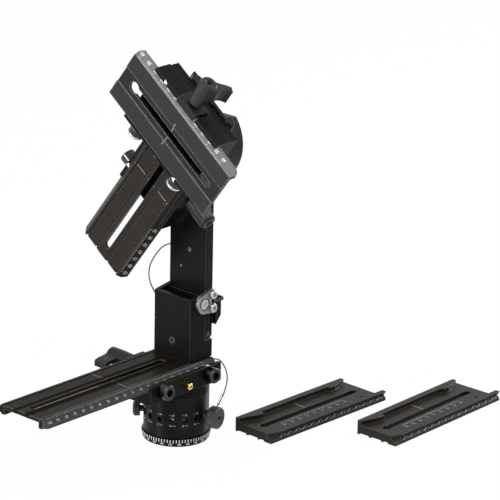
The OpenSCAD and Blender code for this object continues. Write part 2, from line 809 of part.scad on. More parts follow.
// Two keys under the riser sit in the middle plate's channels
module top_riser() {
  color([0.24, 0.24, 0.24]) on_top() difference() {
    union() {
      translate([-riser_l / 2, -riser_w / 2, 0]) cube([riser_l, riser_w, riser_t]);
      for (x = [-key_out, key_in]) translate([x, -riser_w / 2, seat_gap - channel_d])
        cube([key_out - key_in, riser_w, channel_d]);
    }
    for (x = [-0.32, 0.32], y = [-0.32, 0.32]) translate([x * plate_w, y * riser_w, -channel_d - cut_over])
      cylinder(r = stop_r + run_gap, h = riser_t / 2 + channel_d + cut_over);
  }
}

module riser_screws() {
  color([0.4, 0.4, 0.4]) on_tilt() translate([0, 0, tilt_stack + clamp_rise])
    for (x = [-0.32, 0.32], y = [-0.32, 0.32])
      translate([top_reach + x * riser_w, y * plate_w, 0]) {
        translate([0, 0, -screw_seat]) cylinder(r = stop_r, h = screw_seat + riser_t / 2 - free_gap);
        translate([0, 0, -screw_seat - stop_r]) cylinder(r = 1.75 * stop_r, h = stop_r);
      }
}

// Foot box and upright
module foot_box() {
  color([0.13, 0.13, 0.13]) difference() {
    union() {
      translate([box_x, -half_bw, lower_top_z]) cube([box_d, bar_w, box_h]);
      for (y = [-half_bw, key_in]) translate([box_x, y, lower_top_z + seat_gap - channel_d])
        cube([lower_end_x - box_x, half_bw - key_in, channel_d]);
      translate([box_x, -half_bw, lower_top_z]) cube([step_x - box_x, bar_w, step_z - lower_top_z]);
      translate([bar_x - cut_over, -lug_half, lower_top_z])
        cube([hinge_x - bar_x + cut_over, 2 * lug_half, hinge_z - lower_top_z]);
      translate([hinge_x, 0, hinge_z]) y_rod(bar_t / 2, -lug_half, lug_half);
      translate([bar_x - cut_over, -lug_half, hinge_z - cut_over])
        cube([hinge_x - bar_x + cut_over, 2 * lug_half, bar_t / 2 + cut_over]);
      translate([0, half_bw, 0]) rotate([90, 0, 0]) linear_extrude(box_wall) polygon([
        [box_x, lower_top_z + box_h / 2], [box_x, lower_top_z + box_h],
        [bar_x, lower_top_z + box_h + 0.16 * box_d], [bar_x, lower_top_z + box_h / 2]]);
    }
    translate([box_x + box_wall, -half_bw + box_wall, box_floor_z])
      cube([box_d - 2 * box_wall, bar_w - 2 * box_wall, box_h]);
    translate([hinge_x, 0, hinge_z]) y_rod(hinge_r + run_gap, -half_bw, half_bw);
    translate([box_x, 0, lower_top_z + box_screw_rise]) rotate([0, 90, 0])
      translate([0, 0, -cut_over]) cylinder(r = box_screw_r, h = box_wall / 2 + cut_over);
    translate([box_x, 0, lower_top_z + box_screw_rise]) rotate([0, 90, 0])
      translate([0, 0, -cut_over]) cylinder(r = box_screw_r / 2 + run_gap, h = box_d / 2);
    for (y = [-0.62 * half_bw, 0.62 * half_bw])
      translate([(box_x + bar_x) / 2, y, lower_top_z - channel_d - cut_over])
        cylinder(r = stop_r + run_gap, h = box_floor_z - lower_top_z + channel_d - cut_over);
    translate([box_x, half_bw, lower_top_z + 0.55 * box_h]) rotate([0, 0, 45])
      cube([0.9, 0.9, 0.1] * box_wall, center = true);
  }
}

module box_screws() {
  color([0.7, 0.7, 0.7]) {
    translate([box_x, 0, lower_top_z + box_screw_rise]) rotate([0, 90, 0]) difference() {
      union() {
        cylinder(r = box_screw_r - run_gap, h = box_wall / 2 - seat_gap);
        cylinder(r = box_screw_r / 2, h = box_d / 2 - 2 * cut_over);
      }
      translate([0, 0, -cut_over]) cylinder(r = box_screw_r / 2, h = box_wall / 3 + cut_over, $fn = 6);
    }
    for (y = [-0.62 * half_bw, 0.62 * half_bw]) translate([(box_x + bar_x) / 2, y, lower_top_z]) {
      translate([0, 0, -screw_seat])
        cylinder(r = stop_r, h = screw_seat + box_floor_z - lower_top_z - 3 * cut_over);
      translate([0, 0, -screw_seat - stop_r]) cylinder(r = 1.75 * stop_r, h = stop_r);
    }
  }
}

// Brass spring catch that keeps the upright against the box
module brass_catch() {
  color([0.8, 0.6, 0.28]) {
    translate([box_x + box_wall + free_gap, -half_bw + box_wall + free_gap, box_floor_z])
      cube([box_d - 2 * box_wall - 2 * free_gap, bar_w - 2 * box_wall - 2 * free_gap, 0.5 * box_h]);
    translate([(box_x + bar_x) / 2, 0, box_floor_z + 0.5 * box_h - seat_gap])
      cylinder(r = 0.3 * (box_d - 2 * box_wall), h = 0.1 * box_h);
  }
}

module hinge_pin() {
  color([0.55, 0.55, 0.55]) translate([hinge_x, 0, hinge_z])
    y_rod(hinge_r, -half_bw + seat_gap, half_bw - seat_gap);
}

module upright_bar() {
  x0 = bar_x + bar_gap;
  edge = 0.06 * bar_w;
  color([0.15, 0.15, 0.15]) difference() {
    union() {
      translate([x0, -half_bw, hinge_z]) cube([bar_t, bar_w, bar_top_z - hinge_z - half_bw]);
      translate([hinge_x, 0, hinge_z]) y_rod(bar_t / 2, -half_bw, half_bw);
      translate([x0, 0, bar_top_z - half_bw]) rotate([0, 90, 0]) cylinder(r = half_bw, h = bar_t);
      translate([bar_back_x, 0, 0]) bar_ear();
    }
    translate([x0 - cut_over, -lug_half - free_gap, hinge_z - bar_t])
      cube([bar_t + 2 * cut_over, 2 * (lug_half + free_gap), bar_t * 1.5 + 2 * free_gap]);
    translate([hinge_x, 0, hinge_z]) y_rod(hinge_r, -bar_w, bar_w);
    for (s = [-1, 1]) translate([x0 + bar_t / 2, s * half_bw, hinge_z + bar_t])
      translate([-bar_t / 8, -edge / 4, 0]) cube([bar_t / 4, edge / 2, bar_top_z - hinge_z - bar_w]);
    translate([0, 0, tilt_z]) rotate([0, 90, 0])
      cylinder(r = tilt_shaft_r + bearing_wall + run_gap, h = 2 * bar_back_x);
    for (p = bar_screw_spots) translate([x0 - cut_over, p[0], p[1]]) rotate([0, 90, 0]) {
      cylinder(r = p[2] + run_gap, h = bar_t / 2 + cut_over);
    }
    translate([bar_x, rod_line_y, latch_z]) rotate([0, 90, 0]) cylinder(r = rod_r + run_gap, h = 3 * bar_t);
    translate([bar_x, -half_bw - 2 * latch_t, hinge_z])
      cube([hinge_x - bar_x + latch_bolt_r + free_gap, 2 * latch_t, 2 * box_h]);
    for (z = latch_bolt_zs) translate([hinge_x, 0, z])
      y_rod(stop_r + run_gap, -half_bw - latch_t, -half_bw + latch_t + cut_over);
  }
}

// Screw holes in the front of the upright: place along Y, height, radius
bar_screw_spots = [[-1.6, 172.8, 1.9], [8.4, 155.5, 1.1]];

// Ear behind the upright that carries the rod of the latch
module bar_ear() {
  drop = 24;
  translate([0, -half_bw + box_wall, 0]) rotate([90, 0, 0]) linear_extrude(box_wall + latch_t)
    polygon([[-0.1 * bar_t, latch_z + 0.7 * latch_r], [ear_x1 - bar_back_x, latch_z + 0.4 * latch_r],
      [ear_x1 - bar_back_x, latch_z - drop * 0.6], [ear_x1 - bar_back_x - 0.1 * drop, latch_z - 0.72 * drop],
      [-0.1 * bar_t, latch_z - drop]]);
}

module bar_screws() {
  color([0.75, 0.75, 0.75]) for (p = bar_screw_spots)
    translate([bar_x + bar_gap, p[0], p[1]]) rotate([0, 90, 0]) difference() {
      translate([0, 0, seat_gap]) cylinder(r = p[2], h = bar_t / 2 - 2 * seat_gap);
      translate([0, 0, -cut_over]) cylinder(r = 0.55 * p[2], h = p[2] + cut_over, $fn = 6);
    }
}

// Latch: a casting screwed to the upright's edge, whose star screw clamps on the box
module latch_plate() {
  bolt_x = hinge_x;
  color([0.68, 0.67, 0.64]) difference() {
    union() {
      translate([latch_x, 0, latch_z]) y_rod(latch_r, -half_bw - latch_t, -half_bw - run_gap);
      for (z = latch_bolt_zs) translate([bolt_x, 0, z])
        y_rod(latch_bolt_r, -half_bw - latch_t, -half_bw - run_gap);
      translate([0, -half_bw - run_gap, 0]) rotate([90, 0, 0]) linear_extrude(latch_t - run_gap)
        polygon([[latch_x - 0.6 * latch_r, latch_z + 0.8 * latch_r],
          [bolt_x - 0.6 * latch_bolt_r, latch_bolt_zs[0] + 0.8 * latch_bolt_r],
          [bolt_x, latch_bolt_zs[0]], [bolt_x - 0.5 * latch_bolt_r, latch_z],
          [bolt_x, latch_bolt_zs[1]], [bolt_x, latch_bolt_zs[1] - latch_bolt_r],
          [latch_x, latch_z - latch_r], [latch_x, latch_z]]);
    }
    translate([latch_x, 0, latch_z])
      y_rod(0.7 * latch_r, -half_bw - latch_t - cut_over, -half_bw - 0.62 * latch_t);
    translate([latch_x, 0, latch_z]) y_rod(stop_r + run_gap, -half_bw - latch_t, 0);
    for (z = latch_bolt_zs) translate([bolt_x, 0, z])
      y_rod(stop_r + run_gap, -half_bw - latch_t - cut_over, 0);
    translate([bolt_x, rod_line_y, latch_z]) rotate([0, 90, 0])
      cylinder(r = rod_r + run_gap, h = 2 * latch_bolt_r);
  }
}

module latch_screw() {
  color([0.8, 0.82, 0.85]) translate([latch_x, 0, latch_z]) difference() {
    union() {
      y_rod(0.52 * latch_r, -half_bw - 0.98 * latch_t, -half_bw - 0.62 * latch_t - run_gap);
      y_rod(stop_r, -half_bw - 0.7 * latch_t, -half_bw - run_gap);
    }
    translate([0, -half_bw - 1.2 * latch_t, 0]) rotate([-90, 0, 0]) for (a = [0, 30])
      rotate([0, 0, a]) cylinder(r = 0.27 * latch_r, h = 0.4 * latch_t, $fn = 6);
  }
}

module latch_bolts() {
  head = 0.7 * latch_t;
  color([0.85, 0.87, 0.9]) for (z = latch_bolt_zs) translate([hinge_x, 0, z]) difference() {
    union() {
      translate([0, -half_bw - latch_t - head - run_gap, 0]) rotate([-90, 0, 0]) rotate_extrude() polygon([
        [0, 0], [0.75 * latch_bolt_r, 0], [0.86 * latch_bolt_r, 0.2 * head],
        [0.86 * latch_bolt_r, head], [0, head]]);
      y_rod(stop_r, -half_bw - latch_t - 0.5 * head, -half_bw + latch_t);
    }
    translate([0, -half_bw - latch_t - 1.5 * head, 0]) rotate([-90, 0, 0])
      cylinder(r = 0.4 * latch_bolt_r, h = head, $fn = 6);
  }
}

module latch_rod() {
  x0 = hinge_x + latch_bolt_r / 2;
  color([0.2, 0.19, 0.18]) translate([x0, rod_line_y, latch_z]) rotate([0, 90, 0])
    cylinder(r = rod_r, h = rod_end_x - x0);
}

// Tilt bearing behind the upright, and the shaft with its front flange
module tilt_housing() {
  color([0.14, 0.14, 0.14]) difference() {
    translate([bar_back_x + bar_gap, 0, 0]) difference() {
      translate([0, 0, tilt_z + th_rise]) rotate([0, 90, 0]) cylinder(r = th_r, h = th_t);
      translate([-cut_over, -2 * th_r, tilt_z + th_rise + th_cut])
        cube([th_t + 2 * cut_over, 4 * th_r, 2 * th_r]);
    }
    translate([0, 0, tilt_z]) rotate([0, 90, 0])
      cylinder(r = tilt_shaft_r + bearing_wall + run_gap, h = 4 * bar_back_x);
    translate([bar_back_x + th_t / 2, 0, tilt_z]) cylinder(r = index_r, h = 2 * th_r);
    translate([bar_back_x + th_t / 2, 0, tilt_z]) rotate([-90, 0, 0])
      cylinder(r = lock_stud_r + run_gap, h = 2 * th_r);
  }
}

module tilt_bearing() {
  color([0.75, 0.6, 0.3]) difference() {
    translate([bar_x + bar_gap, 0, tilt_z]) rotate([0, 90, 0])
      cylinder(r = tilt_shaft_r + bearing_wall, h = bar_t + th_t - seat_gap);
    translate([0, 0, tilt_z]) rotate([0, 90, 0]) cylinder(r = tilt_shaft_r + run_gap, h = 4 * bar_back_x);
    translate([bar_back_x + th_t / 2, 0, tilt_z]) cylinder(r = index_r, h = 2 * th_r);
    translate([bar_back_x + th_t / 2, 0, tilt_z]) rotate([-90, 0, 0])
      cylinder(r = lock_stud_r + run_gap, h = 2 * th_r);
  }
}

th_knob_y = sqrt(th_r * th_r - (th_rise - lock_r) * (th_rise - lock_r)) + lock_knob_gap / 2;
tilt_nut_t = 5;
tilt_end_x = bar_back_x + th_t + tilt_nut_t + bar_gap;
tilt_flute_r = 1.1;

module tilt_shaft() {
  color([0.5, 0.5, 0.5]) on_tilt() difference() {
    union() {
      translate([0, 0, seat_gap]) cylinder(r = tilt_flange_r, h = tilt_flange_t - seat_gap);
      translate([0, 0, bar_x - tilt_end_x])
        cylinder(r = tilt_shaft_r, h = tilt_end_x - bar_x + tilt_flange_t / 2);
    }
    for (a = [0 : 15 : 345]) rotate([0, 0, a + tilt_a])
      translate([tilt_shaft_r, 0, bar_x - bar_back_x - th_t / 2 - 2 * detent_r])
        cylinder(r = tilt_flute_r, h = 4 * detent_r, $fn = 24);
    for (p = tilt_spots) translate([p[0], p[1], tilt_flange_t / 3])
      cylinder(r = flange_screw_r + run_gap, h = tilt_flange_t);
  }
}

module tilt_nut() {
  color([0.2, 0.2, 0.2]) translate([bar_back_x + th_t + 2 * bar_gap, 0, tilt_z]) rotate([0, 90, 0])
    difference() {
    cylinder(r = 1.6 * tilt_shaft_r, h = tilt_nut_t);
    translate([0, 0, -cut_over]) cylinder(r = tilt_shaft_r + run_gap, h = tilt_nut_t + 2 * cut_over);
    for (a = [0 : 90 : 270]) rotate([0, 0, a]) translate([1.6 * tilt_shaft_r, 0, -cut_over])
      cylinder(r = 2 * detent_r, h = tilt_nut_t + 2 * cut_over, $fn = 24);
  }
}

// Index plunger of the tilt axis, seated on the housing's flat land
module tilt_plunger() {
  land_z = th_rise + th_cut;
  color([0.22, 0.22, 0.22]) translate([bar_back_x + th_t / 2, 0, tilt_z]) rotate_extrude() polygon([
    [0, tilt_shaft_r - 0.7 * tilt_flute_r], [0.35 * tilt_flute_r, tilt_shaft_r - 0.7 * tilt_flute_r],
    [0.8 * tilt_flute_r, tilt_shaft_r], [pin_r - run_gap, tilt_shaft_r + 0.5 * pin_r],
    [pin_r - run_gap, tilt_shaft_r + 2 * pin_r],
    [index_r - run_gap, tilt_shaft_r + 2 * pin_r], [index_r - run_gap, land_z + free_gap],
    [0.8 * lock_r, land_z + free_gap], [lock_r, land_z + 3 * free_gap],
    [lock_r, land_z + 0.8 * plunger_knob_l], [0.85 * lock_r, land_z + plunger_knob_l],
    [0, land_z + plunger_knob_l]]);
}

module tilt_lock_knob() {
  knob_y = th_knob_y;
  color([0.1, 0.1, 0.1]) translate([bar_back_x + th_t / 2, 0, tilt_z]) rotate([-90, 0, 0]) difference() {
    rotate_extrude() polygon([
      [0, tilt_shaft_r + free_gap], [lock_stud_r, tilt_shaft_r + free_gap],
      [lock_stud_r, knob_y], [0.9 * lock_r, knob_y],
      [lock_r, knob_y + 0.1 * lock_r], [lock_r, knob_y + 0.7 * lock_knob_l],
      [0.75 * lock_r, knob_y + 0.93 * lock_knob_l], [0, knob_y + lock_knob_l]]);
    for (a = [0 : 45 : 315]) rotate([0, 0, a]) translate([lock_r + 0.13 * lock_r, 0, knob_y - cut_over])
      cylinder(r = 0.2 * lock_r, h = lock_knob_l + 2 * cut_over, $fn = 24);
  }
}

// Spare plates: a flat camera plate with a raised far lip and two wedge stops, and a
// grooved rail along the front that runs past the right end
module spare_rail() {
  rail_w = 0.1 * spare_w;
  difference() {
    along_x(0, spare_l + rail_over) polygon([
      [-spare_w + 2 * rail_w, 0], [-spare_w, 0], [-spare_w, 0.3 * plate_h],
      [-spare_w + 0.55 * rail_w, 0.5 * plate_h], [-spare_w, 0.93 * plate_h], [-spare_w, plate_h],
      [-spare_w + rail_w, plate_h], [-spare_w + rail_w, plate_h / 2], [-spare_w + 2 * rail_w, plate_h / 2]]);
    translate([0, 0, plate_h / 2]) linear_extrude(plate_h) polygon([
      [-0.1 * rail_over, -spare_w - 0.1 * rail_over], [1.2 * rail_over, -spare_w - 0.1 * rail_over],
      [-0.1 * rail_over, -spare_w + 1.1 * rail_w]]);
  }
}

module spare_plate() {
  lip_w = 0.14 * spare_w;
  difference() {
    union() {
      translate([0, 0, foot_h]) linear_extrude(plate_h - foot_h) polygon([
        [0, 0], [spare_l, 0], [spare_l, -0.9 * spare_w], [0, -0.9 * spare_w]]);
      for (y = [0, -0.3 * spare_w, -0.62 * spare_w]) translate([0, y - foot_w, 0])
        cube([spare_l, foot_w, 2 * foot_h]);
      spare_rail();
      translate([0, 0, plate_h / 2]) linear_extrude(spare_h - plate_h / 2) polygon([
        [0, 0], [0, -0.6 * lip_w], [0.14 * spare_l, -1.7 * lip_w], [0.18 * spare_l, -1.7 * lip_w],
        [0.18 * spare_l, -lip_w], [0.79 * spare_l, -lip_w], [0.81 * spare_l, -1.6 * lip_w],
        [0.85 * spare_l, -1.6 * lip_w], [0.98 * spare_l, -0.6 * lip_w], [0.98 * spare_l, 0]]);
    }
    translate([0, spare_slot_y, plate_h]) plate_slot(0.06 * spare_l, 0.94 * spare_l);
    translate([0.06 * spare_l + slot_w / 2, spare_slot_y, -cut_over])
      cylinder(r = 0.75 * keyhole_r, h = plate_h + 2 * cut_over);
    translate([0.89 * spare_l, -0.84 * spare_w, -cut_over]) cylinder(r = stop_r, h = plate_h + 2 * cut_over);
  }
}

module spare_plate_a() {
  color([0.16, 0.16, 0.16]) translate([spare_a_pos[0], spare_a_pos[1], 0])
    rotate([0, 0, spare_a_turn]) spare_plate();
}

module spare_plate_b() {
  color([0.16, 0.16, 0.16]) translate([spare_b_pos[0], spare_b_pos[1], 0])
    rotate([0, 0, spare_b_turn]) spare_plate();
}

// Tether cords: a thin wire rope swept along a route of chosen points
cord_r = 0.6;
cord_sides = 8;
lower_route = [[9.4, -40.2, 34.9], [11, -41, 37.5], [16, -40.5, 42], [22.5, -38.5, 48.5],
  [28, -35.5, 56], [31, -31, 62], [34, -25, 64.6], [38.5, -17, 65], [41, -8, 63.6],
  [38, -1, 61], [31, 3, 59.5], [23.1, 4, 59.5]];
upper_route = [[17, 22.5, 171], [12, 25.5, 171], [4, 26, 168.5], [-4, 26, 162.5], [-9, 26, 155.5],
  [-10, 26, 147], [-7.5, 26, 138.5], [-3, 26, 130.5], [2, 26, 122], [8, 26, 113],
  [13, 26, 105], [15.5, 24.5, 99.5], [16.8, 22.4, 97.5]];

function mix4(p, q, r, s, t) = 0.5 * (2 * q + (r - p) * t + (2 * p - 5 * q + 4 * r - s) * t * t
  + (3 * q - p - 3 * r + s) * t * t * t);
function spline(route, k) = let (n = len(route))
  [for (i = [0 : n - 2]) for (j = [0 : k - 1])
    mix4(route[max(i - 1, 0)], route[i], route[i + 1], route[min(i + 2, n - 1)], j / k),
   route[n - 1]];
function unit(v) = v / norm(v);
function side_of(t) = unit(cross(t, abs(t[2]) > 0.9 ? [1, 0, 0] : [0, 0, 1]));

module cord(route, k) {
  path = spline(route, k);
  n = len(path);
  m = cord_sides;
  pts = [for (i = [0 : n - 1])
    let (t = unit(path[min(i + 1, n - 1)] - path[max(i - 1, 0)]), a = side_of(t), b = cross(a, t))
    for (j = [0 : m - 1]) path[i] + cord_r * (a * cos(j * 360 / m) + b * sin(j * 360 / m))];
  sides = [for (i = [0 : n - 2]) for (j = [0 : m - 1]) each [
    [i * m + j, i * m + (j + 1) % m, (i + 1) * m + j],
    [i * m + (j + 1) % m, (i + 1) * m + (j + 1) % m, (i + 1) * m + j]]];
  caps = [for (j = [1 : m - 2]) each [
    [0, j + 1, j], [(n - 1) * m, (n - 1) * m + j, (n - 1) * m + j + 1]]];
  polyhedron(points = pts, faces = concat(sides, caps));
}

module lower_tether() {
  color([0.35, 0.3, 0.25]) cord(lower_route, 5);
}

module upper_tether() {
  color([0.35, 0.3, 0.25]) cord(upper_route, 5);
}

base_foot();
dial_ring();
index_drum();
spindle_washer();
spindle_screw();
thrust_washer();
pan_housing();
pan_flange();
flange_screws();
pan_lock_knob();
plunger_collar();
plunger_pin();
plunger_knob();
plunger_spring();
lower_clamp();
lower_clamp_screws();
lower_jaw();
lower_lever();
lower_lever_screw();
lower_button();
lower_caps();
lower_plate();
foot_box();
box_screws();
brass_catch();
hinge_pin();
upright_bar();
bar_screws();
latch_plate();
latch_screw();
latch_rod();
latch_bolts();
tilt_housing();
tilt_bearing();
tilt_shaft();
tilt_nut();
tilt_plunger();
tilt_lock_knob();
middle_riser();
middle_clamp();
middle_clamp_screws();
middle_jaw();
middle_lever();
middle_lever_screw();
middle_button();
middle_caps();
middle_plate();
top_riser();
riser_screws();
top_clamp();
top_jaw();
top_lever();
top_lever_screw();
top_button();
top_caps();
top_plate();
spare_plate_a();
spare_plate_b();
lower_tether();
upper_tether();
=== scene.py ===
import math
import bmesh
import bpy
from mathutils import Matrix, Vector


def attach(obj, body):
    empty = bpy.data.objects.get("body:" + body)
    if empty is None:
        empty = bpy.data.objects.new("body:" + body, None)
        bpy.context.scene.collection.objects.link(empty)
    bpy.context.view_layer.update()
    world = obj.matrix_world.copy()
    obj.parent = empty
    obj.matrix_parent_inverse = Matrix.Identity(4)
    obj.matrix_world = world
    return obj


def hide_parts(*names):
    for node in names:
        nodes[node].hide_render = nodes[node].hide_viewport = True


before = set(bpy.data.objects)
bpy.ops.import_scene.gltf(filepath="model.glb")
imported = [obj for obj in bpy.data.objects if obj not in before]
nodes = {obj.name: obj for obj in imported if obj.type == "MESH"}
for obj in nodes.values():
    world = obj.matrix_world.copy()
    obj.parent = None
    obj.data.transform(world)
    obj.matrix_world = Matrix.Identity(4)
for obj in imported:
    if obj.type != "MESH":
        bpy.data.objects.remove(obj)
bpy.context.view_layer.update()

mm = 0.001
scene = bpy.context.scene
scene.view_settings.view_transform = "Standard"

# camera, at the photograph's angle and distance, its place in millimetres
cameraSet = {"azimuth": -47.72, "elevation": 19.12, "roll": 1.19, "lens": 236.33, "sensor": 36,
             "at": (-1974.85, -1880.82, 1121.47), "clip": (0.1, 50)}


def backwards(s):
    az, el = math.radians(s["azimuth"]), math.radians(s["elevation"])
    return Vector((math.sin(az) * math.cos(el), -math.cos(az) * math.cos(el), math.sin(el)))


def placeCamera(s):
    az, roll = math.radians(s["azimuth"]), math.radians(s["roll"])
    back = backwards(s)
    right = Vector((math.cos(az), math.sin(az), 0))
    up = back.cross(right)
    rolledRight = right * math.cos(roll) + up * math.sin(roll)
    rolledUp = up * math.cos(roll) - right * math.sin(roll)
    camera = bpy.data.objects.new("camera", bpy.data.cameras.new("camera"))
    scene.collection.objects.link(camera)
    camera.data.sensor_width = s["sensor"]
    camera.data.lens = s["lens"]
    camera.data.clip_start, camera.data.clip_end = s["clip"]
    turn = Matrix((rolledRight, rolledUp, back)).transposed().to_4x4()
    camera.matrix_world = Matrix.Translation(Vector(s["at"]) * mm) @ turn
    scene.camera = camera


placeCamera(cameraSet)
print("camera placed")


# where each plate and clamp lies: local x along it, y across it, z out of it
def turned(angle, axis):
    return Matrix.Rotation(math.radians(angle), 4, axis)


def moved(x, y, z):
    return Matrix.Translation((x, y, z))


seats = {"tiltZ": 252, "tiltAngle": 37, "barX": 12.3, "stack": 17.9, "rise": 21.4, "riser": 9.6,
         "flangeTop": 54.2, "topReach": 66, "lowerX": -21.5, "middleX": 3.5,
         "spareA": (44.2, -31.8, 9), "spareTurnA": -1.1, "spareB": (117.1, -113.6, 9), "spareTurnB": 1.8}
onTilt = moved(seats["barX"], 0, seats["tiltZ"]) @ turned(seats["tiltAngle"], "X") @ turned(-90, "Y")
onLower = moved(seats["lowerX"], 0, seats["flangeTop"])
onMiddle = onTilt @ moved(seats["middleX"], 0, seats["stack"]) @ turned(180, "Z")
onTopClamp = (onTilt @ moved(seats["topReach"], 0, seats["stack"] + seats["rise"] + seats["riser"])
              @ turned(-90, "Z"))
lowerFace = moved(0, 0, seats["flangeTop"] + seats["rise"])
middleFace = onTilt @ moved(0, 0, seats["stack"] + seats["rise"])
topFace = onTopClamp @ moved(0, 0, seats["rise"])
spareFaceA = moved(*seats["spareA"]) @ turned(seats["spareTurnA"], "Z")
spareFaceB = moved(*seats["spareB"]) @ turned(seats["spareTurnB"], "Z")


# a place in millimetres, as one in metres
def metres(place):
    shift = place.translation * mm
    return Matrix.Translation(shift) @ place.to_3x3().to_4x4()


# shader maths on sockets
class Feed:
    def __init__(self, wires, socket):
        self.wires, self.socket = wires, socket

    def reckon(self, operation, *others, clamp=False):
        settings = {"operation": operation, "use_clamp": clamp}
        return self.wires.node("ShaderNodeMath", settings, dict(enumerate((self,) + others)))

    def __add__(self, other):
        return self.reckon("ADD", other)

    __radd__ = __add__

    def __mul__(self, other):
        return self.reckon("MULTIPLY", other)

    __rmul__ = __mul__

    def __sub__(self, other):
        return self.reckon("SUBTRACT", other)

    def __rsub__(self, other):
        return self.wires.node("ShaderNodeMath", {"operation": "SUBTRACT"}, {0: other, 1: self})

    def __gt__(self, other):
        return self.reckon("GREATER_THAN", other)

    def __lt__(self, other):
        return self.reckon("LESS_THAN", other)

    def __abs__(self):
        return self.reckon("ABSOLUTE")

    def clamped(self):
        return self.reckon("ADD", 0.0, clamp=True)


class Wires:
    def __init__(self, tree):
        self.tree = tree

    def put(self, socket, value):
        if isinstance(value, Feed):
            self.tree.links.new(value.socket, socket)
        else:
            socket.default_value = value

    def node(self, kind, settings=None, inputs=None, output=0):
        made = self.tree.nodes.new(kind)
        for key, value in (settings or {}).items():
            setattr(made, key, value)
        for key, value in (inputs or {}).items():
            self.put(made.inputs[key], value)
        return Feed(self, made.outputs[output])

    def named(self, name):
        return self.tree.nodes[name]

    # 1 where the camera, a mirror or glass looks, 0 for the light that falls on things
    def looked(self):
        rays = self.node("ShaderNodeLightPath").socket.node.outputs
        camera, glossy, through = (Feed(self, rays["Is " + kind + " Ray"])
                                   for kind in ("Camera", "Glossy", "Transmission"))
        return (camera + glossy + through).clamped()

    def mixed(self, mask, first, second):
        return self.node("ShaderNodeMixShader", None, {0: mask, 1: first, 2: second})


# edges lightened partly as wear and partly as a painted highlight: how finely their rounding is sampled,
# and how fast the mask rises with it
edgeSet = {"samples": 6, "gain": 6}
noiseRoughness = 0.55


class Paint(Wires):
    def __init__(self, name, **constants):
        self.material = bpy.data.materials.new(name)
        self.material.use_nodes = True
        super().__init__(self.material.node_tree)
        self.shader = self.named("Principled BSDF")
        for key, value in constants.items():
            self.shader.inputs[key].default_value = value

    def feed(self, socket, value):
        self.put(self.shader.inputs[socket], value)

    # the shader and another mixed by a mask, where the mask is 1 the other
    def over(self, mask, other):
        both = self.mixed(mask, Feed(self, self.shader.outputs[0]), other)
        self.put(self.named("Material Output").inputs["Surface"], both)

    def here(self, toLocal=None):
        place = self.node("ShaderNodeTexCoord", output=3)
        if toLocal is None:
            return place
        turn = toLocal.to_3x3().normalized().to_euler("XYZ")
        shift = toLocal.translation * mm
        return self.node("ShaderNodeMapping", {"vector_type": "POINT"},
                         {"Vector": place, "Location": shift, "Rotation": turn})

    def axes(self, place):
        split = self.node("ShaderNodeSeparateXYZ", None, {0: place}).socket.node
        return [Feed(self, output) for output in split.outputs]

    def noise(self, place, scale, detail):
        return self.node("ShaderNodeTexNoise", None,
                         {"Vector": place, "Scale": scale, "Detail": detail,
                          "Roughness": noiseRoughness})

    def blend(self, mask, first, second):
        return self.node("ShaderNodeMix", {"data_type": "RGBA"}, {0: mask, 6: first, 7: second}, 2)

    # the normal rounded over edges, and a mask that is 1 on them
    def edge(self, radius):
        soft = self.node("ShaderNodeBevel", {"samples": edgeSet["samples"]}, {"Radius": radius})
        flat = self.node("ShaderNodeNewGeometry", output=1)
        likeness = self.node("ShaderNodeVectorMath", {"operation": "DOT_PRODUCT"}, {0: soft, 1: flat}, 1)
        return soft, ((1 - likeness) * edgeSet["gain"]).clamped()

    def bump(self, height, strength, distance, under=None):
        inputs = {"Height": height, "Strength": strength, "Distance": distance}
        if under is not None:
            inputs["Normal"] = under
        return self.node("ShaderNodeBump", None, inputs)


def grey(level, warm=0.0):
    return (level * (1 + warm), level, level * (1 - warm), 1)


# black anodised and painted finishes; shine is the specular level, edge the radius of the lighter edges,
# partly wear and partly a painted highlight
finishes = {
    "satinBlack": {"dark": grey(0.003, 0.08), "light": grey(0.007, 0.08), "wearAndHighlight": grey(0.13, 0.05),
                   "rough": 0.36, "grain": 2600, "bump": 0.16, "edge": 0.0006, "shine": 0.07},
    "satinBrown": {"dark": grey(0.008, 0.22), "light": grey(0.016, 0.22), "wearAndHighlight": grey(0.2, 0.1),
                   "rough": 0.38, "grain": 2600, "bump": 0.16, "edge": 0.0006, "shine": 0.12},
    "lowerBrown": {"dark": grey(0.005, 0.25), "light": grey(0.011, 0.25), "wearAndHighlight": grey(0.3, 0.12),
                   "rough": 0.42, "grain": 2600, "bump": 0.16, "edge": 0.0007, "shine": 0.05},
    "slateBlack": {"dark": grey(0.009, -0.02), "light": grey(0.016, -0.02), "wearAndHighlight": grey(0.14, 0.0),
                   "rough": 0.38, "grain": 2600, "bump": 0.2, "edge": 0.0004, "shine": 0.14},
    "slatePlate": {"dark": grey(0.009, -0.02), "light": grey(0.017, -0.02), "wearAndHighlight": grey(0.5, 0.0),
                   "rough": 0.4, "grain": 2600, "bump": 0.2, "edge": 0.0008, "shine": 0.2},
    "glossBlack": {"dark": grey(0.002, 0.1), "light": grey(0.005, 0.1), "wearAndHighlight": grey(0.05, 0.05),
                   "rough": 0.42, "grain": 1500, "bump": 0.03, "edge": 0.0004, "shine": 0.12,
                   "brushed": 0.85},
    "rimmedCap": {"dark": grey(0.004, 0.0), "light": grey(0.010, 0.0), "wearAndHighlight": grey(0.85, -0.02),
                  "rough": 0.2, "grain": 2400, "bump": 0.06, "edge": 0.0009, "shine": 0.5},
    "leverGrey": {"dark": grey(0.013, 0.02), "light": grey(0.026, 0.02), "wearAndHighlight": grey(0.085, 0.0),
                  "rough": 0.34, "grain": 1800, "bump": 0.3, "edge": 0.0006, "shine": 0.25},
    "blackSteel": {"dark": grey(0.004, 0.0), "light": grey(0.010, 0.0), "wearAndHighlight": grey(0.16, 0.0),
                   "rough": 0.16, "grain": 2400, "bump": 0.06, "edge": 0.0005, "shine": 0.5},
}
